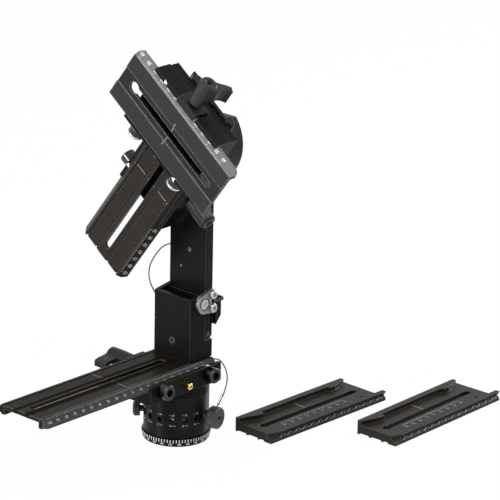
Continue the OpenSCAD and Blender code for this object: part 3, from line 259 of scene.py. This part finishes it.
skinSet = {"cloud": (60, 4), "grainDetail": 2, "cloudShare": 0.7, "grainShare": 0.3, "wearAndHighlight": 0.45,
           "wearAndHighlightCloud": 0.5, "roughGrain": 0.16, "roughCloud": 0.12, "depth": 0.00006, "turn": 0.25}
# a dark matt shader, mixed into the plates as painted shade
shadeMattSet = {"Specular IOR Level": 0.0, "Roughness": 0.8}


def machined(name, s, toLocal=None, bands=(), hollow=None):
    paint = Paint(name, **{"Specular IOR Level": s["shine"], "Anisotropic": s.get("brushed", 0.0),
                           "Anisotropic Rotation": skinSet["turn"]})
    place = paint.here(toLocal)
    cloud = paint.noise(place, *skinSet["cloud"])
    grain = paint.noise(place, s["grain"], skinSet["grainDetail"])
    soft, wearAndHighlight = paint.edge(s["edge"])
    mottle = (cloud * skinSet["cloudShare"] + grain * skinSet["grainShare"]).clamped()
    colour = paint.blend(mottle, s["dark"], s["light"])
    axes = paint.axes(place) if bands or hollow else None
    for band, bandColour in bands:
        colour = paint.blend(band(axes), colour, bandColour)
    # lighter edges: partly edge wear, partly a painted highlight where the edges catch the light
    colour = paint.blend(wearAndHighlight * (skinSet["wearAndHighlight"] + cloud * skinSet["wearAndHighlightCloud"]), colour, s["wearAndHighlight"])
    paint.feed("Base Color", colour)
    paint.feed("Roughness", s["rough"] + (grain - 0.5) * skinSet["roughGrain"]
               + (cloud - 0.5) * skinSet["roughCloud"])
    paint.feed("Normal", paint.bump(grain, s["bump"], skinSet["depth"], soft))
    # painted shade: the dark matt shader takes over where the mask is high
    if hollow is not None:
        shadeMatt = paint.node("ShaderNodeBsdfPrincipled", None, {"Base Color": s["dark"], **shadeMattSet})
        paint.over(hollow(axes), shadeMatt)
    return paint.material


metals = {
    "turnedSteel": {"colour": grey(0.52), "light": grey(0.66), "rough": 0.3, "grain": 1500, "bump": 0.12},
    "brightSteel": {"colour": (0.30, 0.32, 0.34, 1), "light": (0.72, 0.75, 0.78, 1), "rough": 0.2,
                    "grain": 900, "bump": 0.1},
    "chrome": {"colour": (0.55, 0.60, 0.64, 1), "light": (0.9, 0.94, 0.96, 1), "rough": 0.12,
               "grain": 900, "bump": 0.05},
    "castZinc": {"colour": (0.23, 0.22, 0.20, 1), "light": (0.42, 0.41, 0.38, 1), "rough": 0.4,
                 "grain": 1100, "bump": 0.5},
    "brass": {"colour": (0.56, 0.33, 0.09, 1), "light": (0.86, 0.62, 0.27, 1), "rough": 0.2,
              "grain": 1300, "bump": 0.1},
    "darkSteel": {"colour": grey(0.055, 0.06), "light": grey(0.11, 0.05), "rough": 0.34, "grain": 1500,
                  "bump": 0.15},
    "capSteel": {"colour": grey(0.035, 0.03), "light": grey(0.10, 0.03), "rough": 0.26, "grain": 1500,
                 "bump": 0.08},
    "greySteel": {"colour": grey(0.16, 0.02), "light": grey(0.34, 0.02), "rough": 0.26, "grain": 1500,
                  "bump": 0.12},
}
metalSet = {"cloud": (140, 3), "grainDetail": 3, "edge": 0.0003, "cloudShare": 0.5, "wearAndHighlightShare": 0.6,
            "roughGrain": 0.18, "roughCloud": 0.1, "depth": 0.00008}


def metal(name, s):
    paint = Paint(name, Metallic=1.0)
    place = paint.here()
    cloud = paint.noise(place, *metalSet["cloud"])
    grain = paint.noise(place, s["grain"], metalSet["grainDetail"])
    soft, wearAndHighlight = paint.edge(metalSet["edge"])
    # lighter edges: partly edge wear, partly a painted highlight where the edges catch the light
    mottle = (cloud * metalSet["cloudShare"] + wearAndHighlight * metalSet["wearAndHighlightShare"]).clamped()
    paint.feed("Base Color", paint.blend(mottle, s["colour"], s["light"]))
    paint.feed("Roughness", s["rough"] + (grain - 0.5) * metalSet["roughGrain"]
               + (cloud - 0.5) * metalSet["roughCloud"])
    paint.feed("Normal", paint.bump(grain, s["bump"], metalSet["depth"], soft))
    return paint.material


finish = {name: machined(name, s) for name, s in finishes.items()}
finish.update({name: metal(name, s) for name, s in metals.items()})
print("plain finishes made")

# the plates: strip is the paler bevel; on the top plate the middle channel is painted darker as painted
# shade, and on the lower plate the strips beside the slot are dulled by a mixed-in dark matt shader as
# painted shade
plates = {
    "lower_plate": {"face": lowerFace, "finish": "lowerBrown", "strip": (-31, -25.1),
                    "stripColour": grey(0.042, 0.06), "hollow": (4.4, 10.4)},
    "middle_plate": {"face": middleFace, "finish": "satinBrown"},
    "top_plate": {"face": topFace, "finish": "slatePlate", "strip": (25.1, 31),
                  "stripColour": grey(0.15, 0.05), "sunk": (-9, 9), "sunkColour": grey(0.006, 0.1)},
}
plateSet = {"bevelFoot": -7.9, "hollowShare": 0.75}


def within(distance, span):
    low, high = span
    return (distance > low * mm) * (distance < high * mm)


def plateFinish(name, s):
    def strip(axes):
        return within(axes[1], s["strip"]) * (axes[2] > plateSet["bevelFoot"] * mm)

    # the middle channel, painted darker as painted shade
    def sunk(axes):
        return within(axes[1], s["sunk"])

    # the strips beside the slot, dulled as painted shade
    def hollow(axes):
        return within(abs(axes[1]), s["hollow"]) * plateSet["hollowShare"]

    bands = [(band, s[key + "Colour"]) for key, band in (("strip", strip), ("sunk", sunk)) if key in s]
    return machined(name, finishes[s["finish"]], s["face"].inverted(), bands,
                    hollow if "hollow" in s else None)


wearing = {
    "satinBlack": ["base_foot", "pan_flange", "lower_clamp", "foot_box", "upright_bar", "middle_clamp",
                   "lower_jaw", "middle_jaw", "top_clamp", "top_riser"],
    "satinBrown": ["spare_plate_a", "spare_plate_b", "tilt_housing", "middle_riser"],
    "slateBlack": ["top_jaw", "tilt_shaft", "tilt_nut", "lower_lever", "middle_lever"],
    "glossBlack": ["pan_housing", "dial_ring"],
    "leverGrey": ["top_lever", "pan_lock_knob", "tilt_lock_knob", "plunger_collar", "tilt_plunger"],
    "capSteel": ["lower_caps"],
    "blackSteel": ["middle_caps", "lower_clamp_screws", "middle_clamp_screws", "lower_lever_screw",
                   "middle_lever_screw", "top_lever_screw", "riser_screws", "hinge_pin", "box_screws"],
    "greySteel": ["index_drum", "bar_screws", "middle_button", "top_button"],
    "turnedSteel": ["spindle_washer", "spindle_screw", "flange_screws", "plunger_pin", "plunger_spring"],
    "brightSteel": ["latch_bolts", "latch_screw"],
    "rimmedCap": ["top_caps"],
    "castZinc": ["latch_plate"],
    "brass": ["lower_button", "brass_catch", "thrust_washer", "tilt_bearing"],
    "darkSteel": ["latch_rod"],
}


def wear(name, material):
    mesh = nodes[name].data
    mesh.materials.clear()
    mesh.materials.append(material)


for finishName, members in wearing.items():
    for member in members:
        wear(member, finish[finishName])
for plateName, s in plates.items():
    wear(plateName, plateFinish(plateName + "Finish", s))

# knurled grip: a fine sawtooth round the plunger knob's own axis, and turned rings on its end
plungerSet = {"angle": -76, "height": 24.7, "radius": 10, "rim": 0.4, "teeth": 64, "rings": 0.45,
              "grain": (1900, 3), "edge": 0.0005, "dark": grey(0.022, 0.06), "light": grey(0.055, 0.06),
              "wearAndHighlight": grey(0.12, 0.04), "wearAndHighlightShare": 0.6, "metal": 0.35, "rough": (0.36, 0.14),
              "shade": {"grain": 0.7, "teeth": 0.22, "least": 0.1},
              "relief": {"teeth": 0.6, "rings": 0.1, "grain": 0.3}, "bump": 0.6, "depth": 0.00025}


def knurledFinish(s):
    axis = turned(s["angle"], "Z") @ moved(0, 0, s["height"]) @ turned(90, "Y")
    paint = Paint("knurledGrey", Metallic=s["metal"])
    place = paint.here(axis.inverted())
    x, y, z = paint.axes(place)
    distance = (x * x + y * y).reckon("SQRT")
    rim = distance > (s["radius"] - s["rim"]) * mm
    teeth = (y.reckon("ARCTAN2", x) * s["teeth"]).reckon("SINE") * rim
    rings = (distance * (2 * math.pi / (s["rings"] * mm))).reckon("SINE") * (1 - rim)
    grain = paint.noise(place, *s["grain"])
    soft, wearAndHighlight = paint.edge(s["edge"])
    light, relief, (rough, roughGrain) = s["shade"], s["relief"], s["rough"]
    shade = (grain * light["grain"] + teeth * light["teeth"] + light["least"]).clamped()
    colour = paint.blend(shade, s["dark"], s["light"])
    # lighter edges: partly edge wear, partly a painted highlight where the edges catch the light
    paint.feed("Base Color", paint.blend(wearAndHighlight * s["wearAndHighlightShare"], colour, s["wearAndHighlight"]))
    paint.feed("Roughness", rough + grain * roughGrain)
    height = teeth * relief["teeth"] + rings * relief["rings"] + grain * relief["grain"]
    paint.feed("Normal", paint.bump(height, s["bump"], s["depth"], soft))
    return paint.material


wear("plunger_knob", knurledFinish(plungerSet))
print("CAD nodes dressed")


# every new piece is a mesh at the origin that rides a body
def link(name, mesh, material, body):
    piece = bpy.data.objects.new(name, mesh)
    scene.collection.objects.link(piece)
    mesh.materials.append(material)
    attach(piece, body)
    return piece


def close(bm, name, material, body):
    bmesh.ops.remove_doubles(bm, verts=bm.verts, dist=1e-7)
    bmesh.ops.recalc_face_normals(bm, faces=bm.faces)
    mesh = bpy.data.meshes.new(name)
    bm.to_mesh(mesh)
    bm.free()
    mesh.shade_smooth()
    return link(name, mesh, material, body)


def linked(verts, kind):
    return list(dict.fromkeys(part for v in verts for part in getattr(v, kind)))


# a smooth line through the points of a route, in metres
def catmull(points, steps):
    line = []
    last = len(points) - 1
    for i in range(last):
        p, q, r, t = (Vector(points[max(0, min(last, i + k))]) for k in (-1, 0, 1, 2))
        for j in range(steps):
            a = j / steps
            line.append(0.5 * (2 * q + (r - p) * a + (2 * p - 5 * q + 4 * r - t) * a * a
                               + (3 * q - p - 3 * r + t) * a * a * a))
    line.append(Vector(points[last]))
    return [v * mm for v in line]


def tube(bm, line, radius, sides, taper=None):
    rings = []
    across = None
    for i, point in enumerate(line):
        along = (line[min(i + 1, len(line) - 1)] - line[max(i - 1, 0)]).normalized()
        if across is None:
            across = along.orthogonal().normalized()
        across = (across - along * across.dot(along)).normalized()
        other = along.cross(across)
        turn = Matrix((across, other, along)).transposed().to_4x4()
        size = radius * (taper[i] if taper else 1)
        ring = bmesh.ops.create_circle(bm, segments=sides, radius=size,
                                       matrix=Matrix.Translation(point) @ turn)
        rings.append(linked(ring["verts"], "link_edges"))
    for first, second in zip(rings, rings[1:]):
        bmesh.ops.bridge_loops(bm, edges=first + second)
    bmesh.ops.contextual_create(bm, geom=rings[0])
    bmesh.ops.contextual_create(bm, geom=rings[-1])


# tether cords, along the routes of the source; lay is the pitch of the rope's strands, slant their lean
tethers = {
    "lowerTether": {"node": "lower_tether", "body": "pan", "route": [
        (9.4, -40.2, 34.9), (11, -41, 37.5), (16, -40.5, 42), (22.5, -38.5, 48.5), (28, -35.5, 56),
        (31, -31, 62), (34, -25, 64.6), (38.5, -17, 65), (41, -8, 63.6), (38, -1, 61), (31, 3, 59.5),
        (23.1, 4, 59.5)]},
    "upperTether": {"node": "upper_tether", "body": "upright", "route": [
        (17, 22.5, 171), (12, 25.5, 171), (4, 26, 168.5), (-4, 26, 162.5), (-9, 26, 155.5),
        (-10, 26, 147), (-7.5, 26, 138.5), (-3, 26, 130.5), (2, 26, 122), (8, 26, 113), (13, 26, 105),
        (15.5, 24.5, 99.5), (16.8, 22.4, 97.5)]},
}
wireSet = {"radius": 0.6, "sides": 12, "steps": 5, "lay": 0.9, "slant": 1.6, "grain": (1600, 2),
           "dark": (0.060, 0.043, 0.028, 1), "light": (0.21, 0.165, 0.115, 1), "metal": 0.35,
           "strandShare": 0.35, "grainShare": 0.5, "rough": (0.38, 0.16), "bump": 0.5, "depth": 0.00012}


def wireFinish(s):
    paint = Paint("wireRope", Metallic=s["metal"])
    place = paint.here()
    x, y, z = paint.axes(place)
    strands = ((x + y + z * s["slant"]) * (2 * math.pi / (s["lay"] * mm))).reckon("SINE")
    grain = paint.noise(place, *s["grain"])
    shade = (strands * s["strandShare"] + 0.5 + (grain - 0.5) * s["grainShare"]).clamped()
    rough, roughGrain = s["rough"]
    paint.feed("Base Color", paint.blend(shade, s["dark"], s["light"]))
    paint.feed("Roughness", rough + grain * roughGrain)
    paint.feed("Normal", paint.bump(strands, s["bump"], s["depth"]))
    return paint.material


wireCoat = wireFinish(wireSet)
for name, s in tethers.items():
    line = catmull(s["route"], wireSet["steps"])
    bm = bmesh.new()
    tube(bm, line, wireSet["radius"] * mm, wireSet["sides"])
    piece = close(bm, name, wireCoat, s["body"])
    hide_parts(s["node"])
    length = sum((b - a).length for a, b in zip(line, line[1:]))
    print(name, "is", round(length * 1000, 1), "mm long")

# crimp: a bright sleeve over the two strands of the loop by the plunger knob, side by side to the camera
crimpSet = {"first": 5, "last": 12, "radius": 0.8, "apart": 1.0, "rings": 8, "end": 0.8}


def crimp(s):
    line = catmull(tethers["lowerTether"]["route"], wireSet["steps"])
    a, b = line[s["first"]], line[s["last"]]
    side = (b - a).cross(-backwards(cameraSet)).normalized() * s["apart"] * mm
    taper = [s["end"]] + [1] * (s["rings"] - 1) + [s["end"]]
    bm = bmesh.new()
    for sign in (-1, 1):
        strand = [a + side * sign + (b - a) * k / s["rings"] for k in range(s["rings"] + 1)]
        tube(bm, strand, s["radius"] * mm, wireSet["sides"], taper)
    close(bm, "tetherCrimp", finish["chrome"], "pan")


crimp(crimpSet)
print("tethers laid")

# chrome bands round the outer ends of the top clamp's caps
capBandSet = {"x": 29.3, "y": -39.3, "z": 10.8, "radius": 7.0, "proud": 0.35, "half": 1.15,
              "sides": 12, "steps": 48}


def capBands(s):
    bm = bmesh.new()
    for side in (-1, 1):
        centre = Vector((side * s["x"], s["y"], s["z"])) * mm
        flat = Matrix.Diagonal((s["proud"], s["half"], 1, 1))
        start = Matrix.Translation(centre) @ moved(s["radius"] * mm, 0, 0) @ flat
        ring = bmesh.ops.create_circle(bm, segments=s["sides"], radius=mm, matrix=start)["verts"]
        bmesh.ops.spin(bm, geom=ring + linked(ring, "link_edges"), cent=centre, axis=(0, 1, 0),
                       steps=s["steps"], use_merge=True, angle=math.radians(360))
    bmesh.ops.transform(bm, matrix=metres(onTopClamp), verts=bm.verts)
    close(bm, "capBands", finish["chrome"], "middle_plate")


capBands(capBandSet)

# printed marks: thin raised ink, drawn flat in millimetres and then placed
inkSet = {"lift": 0.03, "sink": 0.03, "white": 0.88, "pale": 0.34, "faded": 0.7, "grain": (2200, 3),
          "grainShare": 0.6, "cloud": (240, 2), "cloudShare": 0.4, "rough": 0.5, "roughGrain": 0.2,
          "bump": 0.2, "depth": 0.00004}
inkHeight = inkSet["lift"] + inkSet["sink"]


def inkFinish(name, level):
    paint = Paint(name)
    place = paint.here()
    grain = paint.noise(place, *inkSet["grain"])
    cloud = paint.noise(place, *inkSet["cloud"])
    mottle = (grain * inkSet["grainShare"] + cloud * inkSet["cloudShare"]).clamped()
    paint.feed("Base Color", paint.blend(mottle, grey(level * inkSet["faded"]), grey(level)))
    paint.feed("Roughness", inkSet["rough"] + (grain - 0.5) * inkSet["roughGrain"])
    paint.feed("Normal", paint.bump(grain, inkSet["bump"], inkSet["depth"]))
    return paint.material


whiteInk = inkFinish("whiteInk", inkSet["white"])
paleInk = inkFinish("paleInk", inkSet["pale"])


def bar(bm, x, y, width, height, angle=0.0, depth=0.0):
    middle = depth + (inkSet["lift"] - inkSet["sink"]) / 2
    place = (moved(x * mm, y * mm, middle * mm) @ turned(angle, "Z")
             @ Matrix.Diagonal((width * mm, height * mm, inkHeight * mm, 1)))
    bmesh.ops.create_cube(bm, size=1, matrix=place)


def wedge(bm, x, y, size, angle):
    made = bmesh.ops.create_circle(bm, cap_ends=True, segments=3, radius=size * mm,
                                   matrix=moved(x * mm, y * mm, -inkSet["sink"] * mm) @ turned(angle, "Z"))
    faces = linked(made["verts"], "link_faces")
    grown = bmesh.ops.extrude_face_region(bm, geom=faces, use_keep_orig=True)
    tops = [v for v in grown["geom"] if isinstance(v, bmesh.types.BMVert)]
    bmesh.ops.translate(bm, verts=tops, vec=(0, 0, inkHeight * mm))


def dot(bm, x, y, radius):
    bmesh.ops.create_cone(bm, cap_ends=True, segments=14, radius1=radius * mm, radius2=radius * mm,
                          depth=inkHeight * mm, matrix=moved(x * mm, y * mm, 0))


def number(bm, value, x, y, size, heavy):
    words = bpy.data.curves.new("number", "FONT")
    words.body = str(value)
    words.size = size * mm
    words.align_x, words.align_y = "CENTER", "CENTER"
    words.resolution_u = 2
    words.offset = heavy * mm
    words.extrude = inkHeight / 2 * mm
    holder = bpy.data.objects.new("number", words)
    scene.collection.objects.link(holder)
    bpy.context.view_layer.update()
    mesh = bpy.data.meshes.new_from_object(holder.evaluated_get(bpy.context.evaluated_depsgraph_get()))
    bpy.data.objects.remove(holder)
    mesh.transform(moved(x * mm, y * mm, 0))
    bm.from_mesh(mesh)
    bpy.data.meshes.remove(mesh)


def printed(name, draw, s, place, body, ink, wrap=None):
    bm = bmesh.new()
    draw(bm, s)
    if wrap is not None:
        wrap(bm)
    bmesh.ops.transform(bm, matrix=metres(place), verts=bm.verts)
    mesh = bpy.data.meshes.new(name)
    bm.to_mesh(mesh)
    bm.free()
    return link(name, mesh, ink, body)


# a bevel's own plane: x along the plate, y up the slope
bevelSet = {"across": 27.7, "down": 2.7, "slope": 45}


def bevelPlane(face, side):
    slope = (face @ moved(0, side * bevelSet["across"], -bevelSet["down"])
             @ turned(-bevelSet["slope"] * side, "X"))
    return slope @ turned(180, "Z") if side > 0 else slope


# centimetre scales on the plates' bevels
scales = {
    "basePlateScale": {"face": lowerFace, "side": -1, "line": -84.8, "low": -10, "high": 9,
                       "body": "arm_base", "ink": paleInk, "digit": 3.6, "stroke": 0.32},
    "topPlateScale": {"face": topFace, "side": 1, "line": 2.7, "low": -6, "high": 6,
                      "body": "top_plate", "ink": whiteInk, "digit": 4.0, "stroke": 0.3},
    "middlePlateScale": {"face": middleFace, "side": -1, "line": -18, "low": -9, "high": -3,
                         "body": "middle_plate", "ink": paleInk, "digit": 4.6, "stroke": 0.5},
}
rulerSet = {"top": 3.5, "long": 2.1, "short": 1.3, "digitY": -1.4, "heavy": 0.07}


def ruler(bm, s):
    for i in range(s["low"] * 5, s["high"] * 5 + 1):
        tall = rulerSet["long"] if i % 5 == 0 else rulerSet["short"]
        bar(bm, s["line"] + 2 * i, rulerSet["top"] - tall / 2, s["stroke"], tall)
    for i in range(s["low"], s["high"] + 1):
        number(bm, abs(10 * i), s["line"] + 10 * i, rulerSet["digitY"], s["digit"], rulerSet["heavy"])


for name, s in scales.items():
    printed(name, ruler, s, bevelPlane(s["face"], s["side"]), s["body"], s["ink"])
print("plate scales printed")

# cross lines at mid-length, as spans across the plate and their depth in the channels
longSpans = [(23.3, 24.8, 0), (9.7, 21.3, -0.6), (3.8, 5, 0)]
crossLines = {
    "basePlateLine": {"face": lowerFace, "x": -84.8, "body": "arm_base", "width": 0.5, "spans": longSpans},
    "middlePlateLine": {"face": middleFace, "x": -13.7, "body": "middle_plate", "width": 0.5,
                        "spans": longSpans},
    "topPlateLine": {"face": topFace, "x": 2.7, "body": "top_plate", "width": 0.6,
                     "spans": [(3.9, 8.6, -1), (9.4, 13.5, 0)]},
}


def crossLine(bm, s):
    for side in (-1, 1):
        for low, high, depth in s["spans"]:
            bar(bm, s["x"], side * (low + high) / 2, s["width"], high - low, 0, depth)


for name, s in crossLines.items():
    printed(name, crossLine, s, s["face"], s["body"], paleInk)

# a spare plate's centre line and ruler, and the numbers in the groove of its front rail
spareSet = {"line": 70, "lineFrom": -20, "lineTo": -7, "lineWidth": 0.7, "from": 27, "y": -30.4,
            "baseWidth": 0.4, "tens": 8, "long": 3.0, "short": 1.8, "stroke": 0.5, "down": 5,
            "digit": 3.2, "heavy": 0.05}
grooveSet = {"y": -42.79, "z": -5.4, "tilt": 36.6, "from": 12, "marks": 14, "every": 10,
             "dashAt": 2.6, "dash": (5.6, 0.6), "lean": 20, "digitAt": (7.3, -0.2), "digit": 2.2,
             "heavy": 0.04}


def spareMarks(bm, s):
    last = s["from"] + 10 * s["tens"]
    bar(bm, s["line"], (s["lineFrom"] + s["lineTo"]) / 2, s["lineWidth"], s["lineTo"] - s["lineFrom"])
    bar(bm, (s["from"] + last) / 2, s["y"], last - s["from"], s["baseWidth"])
    for i in range(2 * s["tens"] + 1):
        tall = s["long"] if i % 2 == 0 else s["short"]
        bar(bm, s["from"] + 5 * i, s["y"] - tall / 2, s["stroke"], tall)
    for i in range(s["tens"] + 1):
        value = abs(5 * s["tens"] - 10 * i)
        number(bm, value, s["from"] + 10 * i, s["y"] - s["down"], s["digit"], s["heavy"])


def grooveMarks(bm, s):
    for i in range(s["marks"]):
        x = s["from"] + s["every"] * i
        bar(bm, x + s["dashAt"], 0, *s["dash"], s["lean"])
        number(bm, i, x + s["digitAt"][0], s["digitAt"][1], s["digit"], s["heavy"])


for letter, face, body in (("A", spareFaceA, "spare_a"), ("B", spareFaceB, "spare_b")):
    printed("spareMarks" + letter, spareMarks, spareSet, face, body, paleInk)
    groove = face @ moved(0, grooveSet["y"], grooveSet["z"]) @ turned(grooveSet["tilt"], "X")
    printed("spareGroove" + letter, grooveMarks, grooveSet, groove, body, paleInk)
print("cross lines printed")

# index triangles on the lips of the clamps
pointers = {
    "lowerPointers": {"seat": onLower, "body": "pan"},
    "middlePointers": {"seat": onMiddle, "body": "tilt"},
    "topPointers": {"seat": onTopClamp, "body": "middle_plate"},
}
pointerSet = {"x": 29.3, "y": 30.2, "size": 2.7, "up": 18.1}


def pointerPair(bm, s):
    for side in (-1, 1):
        wedge(bm, side * s["x"], -side * s["y"], s["size"], side * 90)


for name, s in pointers.items():
    printed(name, pointerPair, pointerSet, s["seat"] @ moved(0, 0, pointerSet["up"]), s["body"], whiteInk)

# graduated dial ring; profile is its side, as pairs of height and radius
dialSet = {"radius": 31.3, "phase": 4.3, "ticks": 72, "width": 0.75, "from": 3.9, "ridge": 5.7, "to": 6.85,
           "numbers": 24, "digitZ": 2.3, "digit": 2.3, "heavy": 0.09,
           "profile": ((0.5, 30), (5.7, 31.3), (7.0, 30.78))}


def radiusAt(profile, height):
    for (low, radiusLow), (high, radiusHigh) in zip(profile, profile[1:]):
        if height <= high:
            part = max(0, (height - low) / (high - low))
            return radiusLow + (radiusHigh - radiusLow) * part
    return profile[-1][1]


# what is drawn flat, x round and y up, goes round a turned side
def wrapped(profile, unrolled):
    def wrap(bm):
        for v in bm.verts:
            radius = radiusAt(profile, v.co.y / mm) + v.co.z / mm
            angle = v.co.x / mm / unrolled
            v.co = Vector((math.cos(angle) * radius, math.sin(angle) * radius, v.co.y / mm)) * mm
    return wrap


def dialMarks(bm, s):
    for i in range(s["ticks"]):
        x = s["radius"] * math.radians(s["phase"] + 360 / s["ticks"] * i)
        for low, high in ((s["from"], s["ridge"]), (s["ridge"], s["to"])):
            bar(bm, x, (low + high) / 2, s["width"], high - low)
    step = 360 // s["numbers"]
    for i in range(s["numbers"]):
        x = s["radius"] * math.radians(s["phase"] + step * i)
        number(bm, step * i, x, s["digitZ"], s["digit"], s["heavy"])


printed("dialMarks", dialMarks, dialSet, Matrix.Identity(4), "base", whiteInk,
        wrapped(dialSet["profile"], dialSet["radius"]))

# index numbers round the housing: how many stops above each hole, and the degrees below it
housingSet = {"radius": 29.4, "height": 50, "first": -98.5, "step": 22.5, "above": 29.6, "below": 19.6,
              "stops": [10, 15, 20, 30, 36, 45, 60, 72, 90], "stopAt": 0.9, "stopDigit": 2.4,
              "stopHeavy": 0.07, "dotAt": -2, "dot": 0.4, "degreeAt": -1.6, "degreeDigit": 2.3,
              "degreeHeavy": 0.06, "dashAt": 1.9, "dash": (2.4, 0.5)}


def housingMarks(bm, s):
    for i, stop in enumerate(s["stops"]):
        x = s["radius"] * math.radians(s["first"] - s["step"] * i)
        number(bm, stop, x + s["stopAt"], s["above"], s["stopDigit"], s["stopHeavy"])
        dot(bm, x + s["dotAt"], s["above"], s["dot"])
        number(bm, 360 // stop, x + s["degreeAt"], s["below"], s["degreeDigit"], s["degreeHeavy"])
        bar(bm, x + s["dashAt"], s["below"], *s["dash"])


housingSide = ((0, housingSet["radius"]), (housingSet["height"], housingSet["radius"]))
printed("housingMarks", housingMarks, housingSet, Matrix.Identity(4), "pan", paleInk,
        wrapped(housingSide, housingSet["radius"]))
print("dial printed")

# a pale floor that looks white and still takes the shadow
floorSet = {"half": 6, "colour": (0.86, 0.86, 0.86, 1), "rough": 0.9, "white": 0.97}


def layFloor(s):
    bm = bmesh.new()
    bmesh.ops.create_grid(bm, x_segments=1, y_segments=1, size=s["half"])
    mesh = bpy.data.meshes.new("floor")
    bm.to_mesh(mesh)
    bm.free()
    floor = bpy.data.objects.new("floor", mesh)
    scene.collection.objects.link(floor)
    paint = Paint("paleFloor", **{"Base Color": s["colour"], "Roughness": s["rough"]})
    glow = paint.node("ShaderNodeEmission", None, {"Color": (1, 1, 1, 1), "Strength": 1.0})
    paint.over(paint.looked() * s["white"], glow)
    mesh.materials.append(paint.material)


layFloor(floorSet)

# two tall strips light the round housing from the left and from behind, two wide boxes from above
lamps = {
    "leftStrip": {"at": (-1.8, 0.5, 0.55), "wide": 0.3, "tall": 1.1, "power": 30},
    "rightStrip": {"at": (1.8, -0.3, 0.5), "wide": 0.3, "tall": 1.0, "power": 22},
    "frontSoftbox": {"at": (-0.6, -1.7, 1.9), "wide": 1.2, "tall": 0.9, "power": 20},
    "topSoftbox": {"at": (0.1, 0.5, 2.2), "wide": 1.2, "tall": 1.2, "power": 14},
}
lampAim = Vector((0, 0, 0.18))
for name, s in lamps.items():
    light = bpy.data.lights.new(name, "AREA")
    light.shape = "RECTANGLE"
    light.energy, light.size, light.size_y = s["power"], s["wide"], s["tall"]
    lamp = bpy.data.objects.new(name, light)
    scene.collection.objects.link(lamp)
    lamp.location = s["at"]
    lamp.rotation_mode = "QUATERNION"
    lamp.rotation_quaternion = (Vector(s["at"]) - lampAim).to_track_quat("Z", "Y")

# a soft sky lights the object, and what looks past it sees plain white
skySet = {"Color": (0.97, 0.98, 1, 1), "Strength": 0.45}
whiteSet = {"Color": (1, 1, 1, 1), "Strength": 1.0}


def makeSky():
    world = bpy.data.worlds.new("studio")
    world.use_nodes = True
    scene.world = world
    wires = Wires(world.node_tree)
    soft = wires.named("Background")
    for key, value in skySet.items():
        soft.inputs[key].default_value = value
    white = wires.node("ShaderNodeBackground", None, whiteSet)
    both = wires.mixed(wires.looked(), Feed(wires, soft.outputs[0]), white)
    wires.put(wires.named("World Output").inputs["Surface"], both)


makeSky()
print("stage lit")
